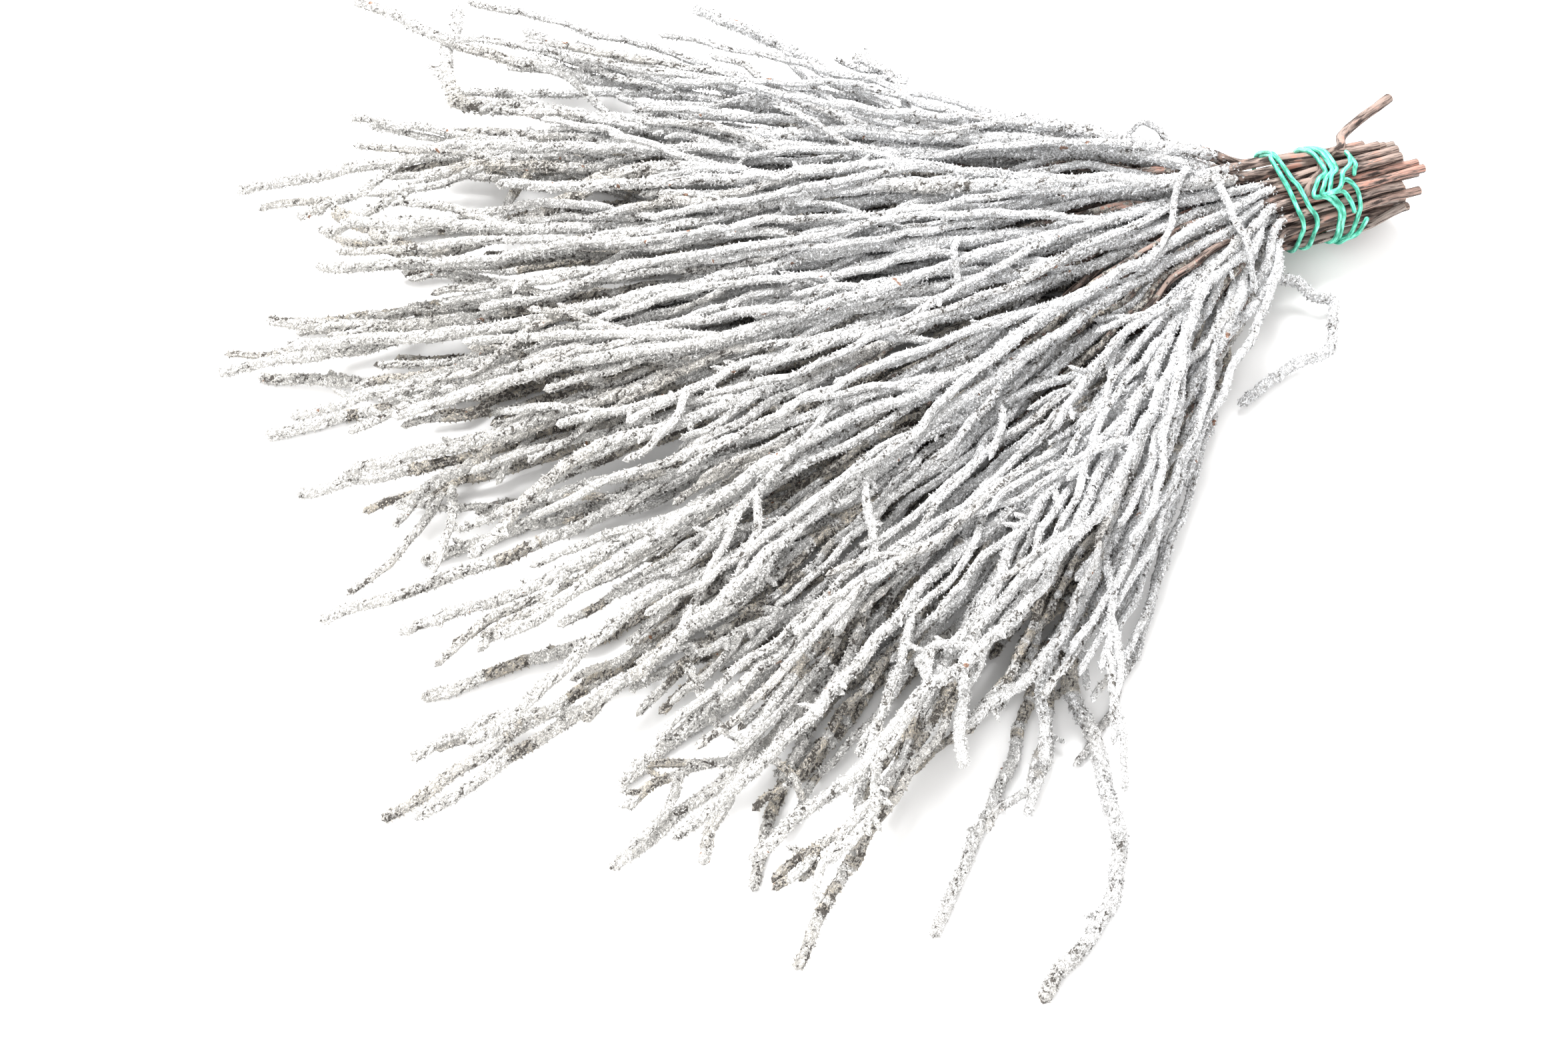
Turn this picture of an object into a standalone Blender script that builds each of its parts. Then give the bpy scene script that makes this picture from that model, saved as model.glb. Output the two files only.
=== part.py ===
"""A bunch of twigs in a thick crust of false snow, lying on its side and tied with wire near the cut ends.

The cut ends point along +X, the twigs fan out towards -X, and the bunch lies on the plane z = 0. Each twig is
one solid: a stem that runs from its cut end to its tip, with the side shoots that grow from it. The twigs are
drawn one by one in the tables below, then settled: pushed apart wherever two of them, or one of them and the
ground, would share a place, until all lie against each other with a small gap, as loose twigs in a bunch do.
"""

import math

import bmesh
import bpy
import numpy as np

MM = 0.001
WELD = 0.01  # closest that two corners of one solid may lie, in millimetres

# Grip: where the stems run side by side, bare, under the wire. All sizes are in millimetres.
STEM_RADIUS = 1.6
STEM_GAP = 0.35  # stems lie less close than they could, being crooked
GRIP_HALF = 17  # half the length of the straight part under the wire
GRIP_HEIGHT = 22  # of the grip's middle above the ground
GRIP_SIDE = 7  # how far the grip's middle lies to +Y of the point that the twigs fan out from
GRIP_SLOPE = -0.15  # of that distance for each millimetre along X
CUT_END = 35  # of the cut ends from the middle of the tie, along the grip
CUT_END_SPREAD = 6  # how much further or nearer a single cut end lies
CUT_SPLAY = 1.06  # how much wider apart the cut ends are than the stems under the wire
COLUMNS = 9  # stems across the grip
ROWS = 7  # of the honeycomb to each side of the grip's middle, more than are filled

# Twig radius over the crust, where it starts, in the middle of a twig and at its tip
CRUST_START = 36
FIRST_RADIUS = 2.3
CRUST_RADIUS = 2.8
TIP_RADIUS = 1.9
TAPER = 1.5  # power of the distance by which a twig thins
SWELL = 4  # power of the distance that is left by which it thickens from the first radius
SHOOT_RATIO = 0.78  # a shoot's radius where it starts, over the twig's there
SHOOT_TIP_RADIUS = 1.6
LEAVE = (1.0, 0.95)  # heading in which a twig leaves the grip, over its tip's bearing, towards +Y and -Y
SPREAD = 0.7  # how far the crusted twigs stand apart beyond the bare ones, over their place in the grip
LEAVE_SHARE = 0.35  # of a twig's length over which it holds the heading in which it leaves
END_SHARE = 0.28  # of its length over which it holds the heading of its tip
LEVEL = 0.8  # how near its tip's height it has come there
SECOND_POINT = 0.22  # share of the length at which the second point of the course lies
WANDER = 5  # how far a twig strays sideways from an even curve
SHOOT_SPAN = 45  # longest straight piece of a shoot
SHOOT_BEND = (1.35, 0.45)  # a shoot's turn at its first and last piece, over the turn in the table
SHOOT_CHANCE = 6  # degrees by which a piece of a shoot turns by chance
SHOOT_RISE = 0.12  # most that a shoot rises or falls, over its length
STEM_ROUNDNESS = 1  # six sides
SHOOT_ROUNDNESS = 0  # four sides

# Wire: plastic-coated binding wire
WIRE_RADIUS = 0.95
WIRE_GAP = 0.35
WIRE_ROUNDNESS = 0
WIRE_STEP = 24  # degrees round the grip between two points of the wire
LEAN_FROM = 120  # degrees round the grip at which a wire is shifted furthest along X by its lean

# Settling
STEPS = 420
TWIG_GAP = 0.34  # between two twigs, once settled
PULL = 0.12  # of the way back to the drawn place in each step, at the start
SMOOTH = 0.15
FADED = 0.65  # share of the steps after which a twig is no longer pulled back
PUSH = 1.2  # more than the distance that a pair is short, because its neighbours push back
LISTING_STEP = 12  # steps between two listings of the pairs that are near each other
LISTING_REACH = 7
WIRE_REACH = 8  # how far beyond the grip's straight part the stems are held off the ground, as by the wire
CROSSED = 0.2  # twigs whose middles are nearer than this are pushed apart upwards

# Each twig, from the photo's upper edge to its lower one: bearing of the tip as seen from the tie, in degrees
# from -X towards +Y; its distance; the heading in which it ends; its height; and the shoots, each as the
# number of the point of the twig that it grows from (3 is at the start of the crust, 8 is the tip), the turn
# away from the twig in degrees, and the length.
TWIGS = (
    (44.5, 370, 56, 13, ((5, 10, 110), (6, -16, 75))),
    (45, 303, 66, 16, ((4, 10, 110), (6, -24, 50))),
    (37, 320, 26, 2, ((4, 8, 110), (6, -14, 80))),
    (33, 295, 27, 24, ((4, 14, 120), (5, -16, 80))),
    (29, 388, 4, 16, ((6, 9, 90), (7, -26, 45))),
    (30, 311, 23, 40, ((4, -12, 140), (6, 16, 55))),
    (27, 350, 14, 2, ((4, 14, 150), (5, -14, 100))),
    (25, 290, 27, 48, ((5, 16, 70), (4, -12, 100))),
    (24, 352, -20, 28, ((5, -16, 110), (6, 14, 60))),
    (23, 342, 32, 44, ((5, -10, 130), (7, 22, 40))),
    (21, 354, 24, 34, ((4, 12, 140), (6, -16, 70))),
    (21, 367, 27, 4, ((5, -14, 120), (7, -20, 45))),
    (19, 373, 32, 22, ((4, -14, 160), (6, 16, 60))),
    (18, 379, 40, 2, ((6, -22, 80), (5, 14, 100))),
    (17, 392, 14, 14, ((5, -12, 130), (7, 30, 25))),
    (15, 366, 22, 40, ((4, 12, 150), (6, -14, 80))),
    (14, 379, 17, 2, ((5, -14, 120), (6, 18, 60))),
    (12, 369, 7, 26, ((4, 14, 130), (7, -18, 45))),
    (9, 373, 9, 8, ((5, 14, 110), (7, -34, 30))),
    (8, 337, 7, 44, ((4, -12, 130), (6, 14, 70))),
    (7, 357, 9, 30, ((5, -14, 100), (6, 22, 55))),
    (5, 344, -10, 18, ((4, 14, 140), (6, 20, 60))),
    (3, 341, 10, 2, ((5, -16, 110), (7, 26, 35))),
    (1, 381, 7, 10, ((4, -12, 160), (6, 14, 80))),
    (-2, 333, -29, 38, ((4, 12, 120), (6, 16, 65))),
    (-3, 362, 6, 22, ((5, -14, 120), (7, -20, 40))),
    (-5, 363, 7, 2, ((4, 14, 150), (6, -20, 70))),
    (-8, 340, -10, 42, ((5, 12, 100), (6, -16, 60))),
    (-10, 397, -10, 4, ((5, -14, 130), (7, 20, 50))),
    (-12, 361, -22, 34, ((4, 12, 140), (6, -18, 60))),
    (-12, 392, -7, 18, ((5, 14, 120), (7, 20, 40))),
    (-15, 318, -31, 46, ((6, -38, 60), (4, 14, 110))),
    (-16, 331, -7, 2, ((4, -14, 120), (6, 16, 60))),
    (-18, 336, -15, 32, ((5, 14, 110), (6, -22, 60))),
    (-20, 357, -19, 12, ((4, -12, 150), (7, 22, 45))),
    (-23, 346, -14, 38, ((5, 14, 110), (6, -20, 60))),
    (-24, 341, -58, 22, ((4, 14, 130), (6, 24, 65))),
    (-26, 330, -52, 2, ((5, -14, 100), (6, 18, 60))),
    (-27, 339, -13, 42, ((4, -12, 130), (7, -24, 45))),
    (-29, 270, -14, 50, ((5, 16, 70), (4, -14, 90))),
    (-31, 350, -38, 14, ((5, 14, 130), (7, 26, 40))),
    (-32, 260, -13, 32, ((4, 14, 100), (6, -22, 45))),
    (-34, 276, -66, 40, ((5, -14, 80), (7, 50, 20))),
    (-36, 314, -40, 2, ((4, 14, 130), (6, -22, 60))),
    (-31, 211, -22, 52, ((4, 14, 90), (6, 34, 30))),
    (-38, 252, -64, 20, ((5, -12, 70), (6, 26, 50))),
    (-32, 174, -46, 40, ((5, 16, 50), (4, 20, 70))),
)

# Twigs that wander: the points of each after the grip, as the distance along -X, the distance along +Y and
# the height, then the shoots as above. The first curls at its tip, the second turns back across its
# neighbours, the next two stand off the upper edge, and the last is the outermost one of the lower edge.
CURL = ((34, 25, 38), (75, 56, 40), (130, 92, 36), (193, 131, 30), (232, 174, 22), (250, 192, 17),
        (246, 213, 14), (227, 242, 12))
TURNED_BACK = ((35, 12, 40), (80, 32, 45), (150, 70, 42), (225, 116, 38), (262, 112, 34), (290, 120, 30),
               (313, 158, 24))
UPPER_STRAY = ((34, 26, 38), (60, 46, 42), (88, 72, 42), (115, 92, 36), (118, 114, 28), (126, 146, 21),
               (149, 200, 12))
UPPER_EDGE = ((34, 26, 28), (62, 46, 30), (100, 74, 32), (138, 100, 30), (176, 124, 26), (215, 140, 20),
              (252, 164, 12))
LOWER_EDGE = ((34, -8, 22), (80, -40, 26), (134, -80, 20), (166, -112, 10), (178, -158, 4), (196, -196, 3),
              (236, -219, 3))
WANDERERS = (
    (CURL, ((5, 24, 40),)),
    (TURNED_BACK, ((5, -14, 70),)),
    (UPPER_STRAY, ((6, 40, 45),)),
    (UPPER_EDGE, ((3, 14, 90), (6, 20, 40))),
    (LOWER_EDGE, ((5, 30, 45),)),
)

# The short shoot that bends back beside the tie: its points, as those of the wanderers, from a point of the
# last twig of the first table
HOOK_FROM = 3
HOOK = ((25, -13, 14), (18, -18, 12), (13, -26, 8), (8, -28, 6), (12, -36, 5), (19, -44, 4), (37, -47, 4),
        (61, -52, 4))

# The stem that sticks out of the bunch's cut end, bare from end to end
SPUR_END = (51, 29, 28)
SPUR_FOOT = (23, 20, 29)
SPUR_RADIUS = 1.65


def vary(number, kind):
    """A value between -1 and 1 that is settled by two whole numbers, and looks random."""
    return 2 * ((number * 0.6180339887 + kind * 0.7548776662) % 1) - 1


def direction(heading):
    """The unit vector on the ground of a heading in degrees from -X towards +Y."""
    return np.array([-math.cos(math.radians(heading)), math.sin(math.radians(heading)), 0])


def grip_middle(x):
    """The grip's middle at x, as (y, z)."""
    return np.array([GRIP_SIDE + GRIP_SLOPE * x, GRIP_HEIGHT])


def slots(count):
    """Middles of the stems across the grip: the places of a honeycomb nearest its centre, as (y, z)."""
    pitch = 2 * STEM_RADIUS + STEM_GAP
    cells = [
        ((column + row % 2 / 2) * pitch, row * pitch * math.sqrt(0.75))
        for row in range(-ROWS, ROWS + 1)
        for column in range(-ROWS, ROWS + 1)
    ]
    cells.sort(key=lambda cell: (round(math.hypot(*cell), 3), cell))
    return cells[:count]


def seats(bearings, heights):
    """The place of each twig in the grip: its bearing settles the column, and its height the place in it."""
    places = sorted(slots(len(bearings)))
    order = sorted(range(len(bearings)), key=lambda i: bearings[i])
    found = [None] * len(order)
    for twigs, cells in zip(np.array_split(order, COLUMNS), np.array_split(np.array(places), COLUMNS)):
        twigs = sorted(twigs, key=lambda i: heights[i])
        cells = sorted(cells.tolist(), key=lambda cell: cell[1])
        for i, cell in zip(twigs, cells):
            found[i] = cell
    return found


def drawn_course(number, seat, bearing, reach, heading, height):
    """A twig's points after the grip, on a cubic curve from near the bearing to the heading of the tip.

    The points between then stray a little to either side.
    """
    start = np.array([-GRIP_HALF, *(grip_middle(-GRIP_HALF) + seat)])
    tip = direction(bearing) * reach + (0, 0, height)
    length = np.linalg.norm(tip - start)
    first = start + direction(LEAVE[bearing < 0] * bearing) * length * LEAVE_SHARE
    second = tip - direction(heading) * length * END_SHARE
    first += (0, SPREAD * seat[0], SPREAD * seat[1])
    second[2] = LEVEL * height + (1 - LEVEL) * start[2]
    crusted = (CRUST_START - GRIP_HALF) / length
    done = np.concatenate([[crusted], np.linspace(SECOND_POINT, 1, 5)])[:, None]
    left = 1 - done
    course = left**3 * start + 3 * left**2 * done * first + 3 * left * done**2 * second + done**3 * tip
    for i in range(1, len(course) - 1):
        course[i] += direction(bearing + 90) * WANDER * vary(number, i)
    return course


def stem_course(number, seat, course):
    """All points of a twig: the cut end, both ends of the grip's straight part, and its course from there."""
    end = CUT_END + CUT_END_SPREAD * vary(number, 1)
    seat = np.array(seat)
    grip = [(end, *(grip_middle(end) + CUT_SPLAY * seat))]
    grip += [(x, *(grip_middle(x) + seat)) for x in (GRIP_HALF, -GRIP_HALF)]
    return np.vstack([grip, course])


def stem_radii(points):
    """A twig's radius at each of its points."""
    count = len(points)
    along = np.linspace(0, 1, count - 3)
    crusted = CRUST_RADIUS + (TIP_RADIUS - CRUST_RADIUS) * along**TAPER
    crusted -= (CRUST_RADIUS - FIRST_RADIUS) * (1 - along) ** SWELL
    return np.concatenate([[STEM_RADIUS] * 3, crusted])


def shoot_course(number, points, start, turn, length):
    """A shoot's points, from a point of its twig: it leaves at the turn, and bends back to the twig's run."""
    ahead = points[min(start + 1, len(points) - 1)] - points[start - 1]
    heading = math.degrees(math.atan2(ahead[1], -ahead[0]))
    course = [points[start]]
    rise = SHOOT_RISE * vary(number, start + turn)
    spans = max(2, math.ceil(length / SHOOT_SPAN))
    for span, bend in enumerate(np.linspace(*SHOOT_BEND, spans)):
        bent = turn * bend + SHOOT_CHANCE * vary(number + span, turn)
        step = direction(heading + bent) + (0, 0, rise)
        course.append(course[-1] + step * length / spans)
    return np.array(course)


def shoot_radii(from_radius, course):
    """A shoot's radius at each of its points, from its twig's radius where it starts."""
    return np.linspace(from_radius * SHOOT_RATIO, SHOOT_TIP_RADIUS, len(course))


def draw_bunch():
    """Each twig as a list of (points, radii, start point), its stem first, and then its shoots."""
    bearings = [row[0] for row in TWIGS]
    heights = [row[3] for row in TWIGS]
    for course, _ in WANDERERS:
        bearings.append(math.degrees(math.atan2(course[3][1], course[3][0])))
        heights.append(course[2][2])
    places = seats(bearings, heights)
    bunch = []
    for number, seat in enumerate(places):
        if number < len(TWIGS):
            course = drawn_course(number, seat, *TWIGS[number][:4])
            shoots = TWIGS[number][4]
        else:
            course, shoots = WANDERERS[number - len(TWIGS)]
            course = np.array(course) * (-1, 1, 1)
        points = stem_course(number, seat, course)
        radii = stem_radii(points)
        twig = [(points, radii, None)]
        for start, turn, length in shoots:
            course = shoot_course(number, points, start, turn, length)
            twig.append((course, shoot_radii(radii[start], course), start))
        if number == len(TWIGS) - 1:
            course = np.vstack([points[HOOK_FROM], np.array(HOOK) * (-1, 1, 1)])
            twig.append((course, shoot_radii(radii[HOOK_FROM], course), HOOK_FROM))
        bunch.append(twig)
    spur = np.array([SPUR_END, SPUR_FOOT], float)
    bunch.append([(spur, np.array([SPUR_RADIUS] * 2), None)])
    return bunch


def closest(a, b, c, d):
    """The nearest places of the segments a-b and c-d, as two fractions along them, for arrays of segments."""
    u, v, w = b - a, d - c, a - c
    uu, vv, uv = (u * u).sum(1), (v * v).sum(1), (u * v).sum(1)
    uw, vw = (u * w).sum(1), (v * w).sum(1)
    s = np.clip((uv * vw - uw * vv) / np.maximum(uu * vv - uv * uv, 1e-9), 0, 1)
    t = np.clip((uv * s + vw) / vv, 0, 1)
    return np.clip((uv * t - uw) / uu, 0, 1), t


def settle(bunch):
    """Pushes the twigs apart and off the ground, and gives their points back in the same lists."""
    points, radii, owner, starts, ends, chains = [], [], [], [], [], []
    for number, twig in enumerate(bunch):
        stem_at = len(points)
        for course, thick, start in twig:
            chain = []
            for i, (point, radius) in enumerate(zip(course, thick)):
                if start is not None and i == 0:
                    chain.append(stem_at + start)
                    continue
                chain.append(len(points))
                points.append(point)
                radii.append(radius)
                owner.append(number)
            chains.append(chain)
            starts += chain[:-1]
            ends += chain[1:]
    points, radii = np.array(points), np.array(radii)
    owner, starts, ends = np.array(owner), np.array(starts), np.array(ends)
    owner = owner[ends]
    drawn = points.copy()
    under_wire = np.abs(drawn[:, 0]) < GRIP_HALF + WIRE_REACH
    lowest = radii + np.where(under_wire, 2 * (WIRE_RADIUS + WIRE_GAP), 0)
    middles = [chain[1:-1] for chain in chains]
    inner = np.concatenate(middles).astype(int)
    before = np.concatenate([chain[:-2] for chain in chains]).astype(int)
    after = np.concatenate([chain[2:] for chain in chains]).astype(int)
    for step in range(STEPS):
        fading = max(0, 1 - step / (FADED * STEPS))
        points += PULL * fading * (drawn - points)
        moved = points - drawn
        points[inner] += SMOOTH * fading * ((moved[before] + moved[after]) / 2 - moved[inner])
        if step % LISTING_STEP == 0:
            low = np.minimum(points[starts], points[ends]) - LISTING_REACH / 2
            high = np.maximum(points[starts], points[ends]) + LISTING_REACH / 2
            near = owner[:, None] < owner[None]
            for axis in range(3):
                near &= low[:, None, axis] < high[None, :, axis]
                near &= low[None, :, axis] < high[:, None, axis]
            first, second = np.nonzero(near)
        a, b, c, d = starts[first], ends[first], starts[second], ends[second]
        s, t = closest(points[a], points[b], points[c], points[d])
        weights = np.stack([1 - s, s, t - 1, -t])
        corners = np.stack([a, b, c, d])
        apart = (weights[..., None] * points[corners]).sum(0)
        distance = np.maximum(np.linalg.norm(apart, axis=1), 1e-6)
        room = (np.abs(weights) * radii[corners]).sum(0) + TWIG_GAP
        short = np.maximum(room - distance, 0)
        touching = short > 0
        apart[distance < CROSSED] = (0, 0, 1)
        push = (short / distance / (weights**2).sum(0))[:, None] * apart
        total = np.zeros_like(points)
        count = np.zeros(len(points))
        for corner, weight in zip(corners, weights):
            np.add.at(total, corner[touching], (weight[:, None] * push)[touching])
            np.add.at(count, corner[touching], np.abs(weight[touching]))
        points += PUSH * total / np.maximum(count, 1)[:, None]
        points[:, 2] = np.maximum(points[:, 2], lowest)
        points = np.round(points, 6)
    chains = iter(chains)
    return [[(points[next(chains)], thick, start) for _, thick, start in twig] for twig in bunch]


def tube(name, path, radii, roundness, collection, origin):
    """A curve object along the path, as thick as the radii, with a flat face at each end."""
    curve = bpy.data.curves.new(name, "CURVE")
    curve.dimensions = "3D"
    curve.bevel_depth = MM
    curve.bevel_resolution = roundness
    curve.use_fill_caps = True
    spline = curve.splines.new("POLY")
    spline.points.add(len(path) - 1)
    for point, place, radius in zip(spline.points, path, radii):
        point.co = (*(np.asarray(place) * MM), 1)
        point.radius = radius
    made = bpy.data.objects.new(name, curve)
    made.parent = origin
    collection.objects.link(made)
    return made


def solid(made):
    """The curve object made a mesh object of the same name, with its end faces welded on."""
    name, origin, collection = made.name, made.parent, made.users_collection[0]
    bpy.context.view_layer.update()
    mesh = bpy.data.meshes.new_from_object(made.evaluated_get(bpy.context.evaluated_depsgraph_get()))
    bpy.data.objects.remove(made)
    welded = bmesh.new()
    welded.from_mesh(mesh)
    bmesh.ops.remove_doubles(welded, verts=welded.verts, dist=WELD * MM)
    welded.to_mesh(mesh)
    welded.free()
    mesh.shade_smooth()
    made = bpy.data.objects.new(name, mesh)
    made.parent = origin
    collection.objects.link(made)
    return made


def support(angle, x, stems):
    """How far out a wire's middle lies at x in the direction of the angle, drawn tight round the stems."""
    facing = np.array([math.cos(angle), math.sin(angle)])
    reach = []
    for points, radii in stems:
        share = (points[1, 0] - x) / (points[1, 0] - points[2, 0])
        middle = points[1, 1:] + share * (points[2, 1:] - points[1, 1:]) - grip_middle(x)
        reach.append(middle @ facing + radii[1] + share * (radii[2] - radii[1]))
    return max(reach) + WIRE_RADIUS + WIRE_GAP


def wire_path(stems, first, last, x_first, x_last, lean, tails):
    """A wire's points: round the grip from one angle to another as it moves along X, and then two tails.

    Each point is the corner between two straight lines that touch the stems, so the wire never cuts into one.
    lean shifts one side of each turn along X. Each tail is a list of moves from the end of the turns.
    """
    turns = []
    step = math.radians(WIRE_STEP)
    for angle in np.arange(first, last, WIRE_STEP):
        around = math.radians(angle)
        middle = around + step / 2
        x = x_first + (x_last - x_first) * (angle - first) / (last - first)
        x += lean * math.cos(middle - math.radians(LEAN_FROM))
        here, there = support(around, x, stems), support(around + step, x, stems)
        slide = (there - here * math.cos(step)) / math.sin(step)
        across = here * math.cos(around) - slide * math.sin(around)
        up = here * math.sin(around) + slide * math.cos(around)
        turns.append((x, *(grip_middle(x) + (across, up))))
    turns = np.array(turns)
    head = turns[0] + np.cumsum(tails[0], axis=0)[::-1]
    foot = turns[-1] + np.cumsum(tails[1], axis=0)
    return np.vstack([head, turns, foot])


# Each wire: first and last angle, first and last X, lean, and the moves of its tails. The left one goes round
# twice. The right one goes round four times, and its tails stand off the side that faces up.
LEFT_TAILS = (((0, 2.2, 2.6), (-0.5, 3.0, 1.5)), ((0.2, -3, 2.5), (1, -3, 0.5)))
RIGHT_TAILS = (((0.5, 2.5, 3), (3.5, 4, 0.5), (4, 5, -0.5)), ((1, -2.5, 3), (2.5, -4, 0.5), (3, -4, -1)))
WIRES = {
    "tie_left": (100, 830, -9, -2.5, 0.8, LEFT_TAILS),
    "tie_right": (104, 1532, 3, 14, 1.2, RIGHT_TAILS),
}


def material(name, colour, roughness):
    made = bpy.data.materials.new(name)
    made.use_nodes = True
    shader = made.node_tree.nodes["Principled BSDF"]
    shader.inputs["Base Color"].default_value = (*colour, 1)
    shader.inputs["Roughness"].default_value = roughness
    return made


def make_twig(name, twig, finish, bundle, shoots, origin):
    """One solid from a stem and the shoots that grow from it."""
    (points, radii, _), *side = twig
    stem = solid(tube(name, points, radii, STEM_ROUNDNESS, bundle, origin))
    stem.data.materials.append(finish)
    for number, (course, thick, _) in enumerate(side, 1):
        shoot = solid(tube(f"{name}_shoot_{number}", course, thick, SHOOT_ROUNDNESS, shoots, origin))
        shoot.hide_render = True
        shoot.display_type = "WIRE"
        join = stem.modifiers.new(shoot.name, "BOOLEAN")
        join.operation = "UNION"
        join.solver = "EXACT"
        join.object = shoot


def box_of(collection):
    """The lowest and highest corner of the objects in a collection, as they stand."""
    bpy.context.view_layer.update()
    depsgraph = bpy.context.evaluated_depsgraph_get()
    corners = []
    for made in collection.objects:
        shape = made.evaluated_get(depsgraph)
        mesh = shape.to_mesh()
        corners += [shape.matrix_world @ corner.co for corner in mesh.vertices]
        shape.to_mesh_clear()
    corners = np.array(corners)
    return corners.min(0), corners.max(0)


def main():
    for old in list(bpy.data.objects):
        bpy.data.objects.remove(old)
    bundle = bpy.data.collections.new("twig_bundle")
    shoots = bpy.data.collections.new("shoots")
    for collection in (bundle, shoots):
        bpy.context.scene.collection.children.link(collection)
    origin = bpy.data.objects.new("origin", None)
    bpy.context.scene.collection.objects.link(origin)

    bark = material("bark", (0.26, 0.17, 0.14), 0.8)
    bunch = settle(draw_bunch())
    for number, twig in enumerate(bunch[:-1], 1):
        finish = material(f"snow_crust_{number:02d}", (0.86, 0.87, 0.88), 0.9)
        make_twig(f"twig_{number:02d}", twig, finish, bundle, shoots, origin)
    make_twig("bare_twig", bunch[-1], bark, bundle, shoots, origin)

    stems = [(twig[0][0], twig[0][1]) for twig in bunch[:-1]]
    for name, values in WIRES.items():
        path = wire_path(stems, *values)
        wire = solid(tube(name, path, [WIRE_RADIUS] * len(path), WIRE_ROUNDNESS, bundle, origin))
        wire.data.materials.append(material(name, (0.1, 0.5, 0.36), 0.35))

    low, high = box_of(bundle)
    origin.location = (-(low[0] + high[0]) / 2, -(low[1] + high[1]) / 2, -low[2])


main()
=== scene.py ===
import math

import bpy
import numpy as np
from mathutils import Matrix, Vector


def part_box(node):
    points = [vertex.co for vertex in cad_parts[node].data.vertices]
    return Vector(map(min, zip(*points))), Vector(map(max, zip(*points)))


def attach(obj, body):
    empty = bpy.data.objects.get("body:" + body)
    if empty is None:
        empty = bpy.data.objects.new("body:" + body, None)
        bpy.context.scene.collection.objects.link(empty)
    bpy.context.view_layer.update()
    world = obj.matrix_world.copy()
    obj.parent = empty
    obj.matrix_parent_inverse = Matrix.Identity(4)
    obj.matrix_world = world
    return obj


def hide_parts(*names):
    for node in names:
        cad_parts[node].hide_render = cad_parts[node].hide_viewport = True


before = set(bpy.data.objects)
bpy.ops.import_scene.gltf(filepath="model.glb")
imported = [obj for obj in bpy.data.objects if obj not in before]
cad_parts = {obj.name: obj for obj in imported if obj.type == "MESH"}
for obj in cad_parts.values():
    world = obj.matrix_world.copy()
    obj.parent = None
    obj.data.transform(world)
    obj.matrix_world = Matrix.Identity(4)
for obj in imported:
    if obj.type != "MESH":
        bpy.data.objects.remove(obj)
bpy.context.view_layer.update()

# THE BUNCH AS IT LIES. Fifty-two twigs are laid side by side, fanned out from the tie and pressed down on the table
# until each rests against its neighbours. The numbers and steps are those of the part's source, in millimetres, so that
# each twig here runs where its solid does.
STEM_RADIUS = 1.6
STEM_GAP = 0.35
GRIP_HALF = 17
GRIP_HEIGHT = 22
GRIP_SIDE = 7
GRIP_SLOPE = -0.15
CUT_END = 35
CUT_END_SPREAD = 6
CUT_SPLAY = 1.06
COLUMNS = 9
ROWS = 7
CRUST_START = 36
FIRST_RADIUS = 2.3
CRUST_RADIUS = 2.8
TIP_RADIUS = 1.9
TAPER = 1.5  # the power by which a twig thins to its tip
SWELL = 4  # the power by which it thickens past the start of its crust
LEAVE = (1.0, 0.95)  # share of its bearing at which a twig leaves the grip, above and below
HANDLES = (0.35, 0.28)  # from A to B and from D to C, as shares of the length
TIP_SHARE = 0.8  # of the tip's height in C's
EVEN_FROM = 0.22  # where on the curve its evenly spaced points start
EVEN_POINTS = 5
SPREAD = 0.7
WANDER = 5
SHOOT_RATIO = 0.78
SHOOT_TIP_RADIUS = 1.6
SHOOT_SPAN = 45
SHOOT_RISE = 0.12
SHOOT_BENDS = (1.35, 0.45)  # times its turn, at its foot and at its tip
SHOOT_STRAY = 6
WIRE_RADIUS = 0.95
WIRE_GAP = 0.35
WIRE_MARGIN = 8  # past the grip, where the stems still lie above the wire
STEPS = 420
TWIG_GAP = 0.34
PULL = 0.12
PULL_UNTIL = 0.65  # share of the steps
SMOOTH = 0.15
PUSH = 1.2  # times what a pair is short of its room
TOO_CLOSE = 0.2  # to tell which way is apart, so the pair is parted upwards
LEAST_GIVE = 0.25
LISTING_STEP = 12
LISTING_REACH = 7
FINE_REACH = 7  # as far as the fine twigs give way to the others, each way
SCATTER = (0.6180339887, 0.7548776662)  # fractions whose multiples fall into no pattern

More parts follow.
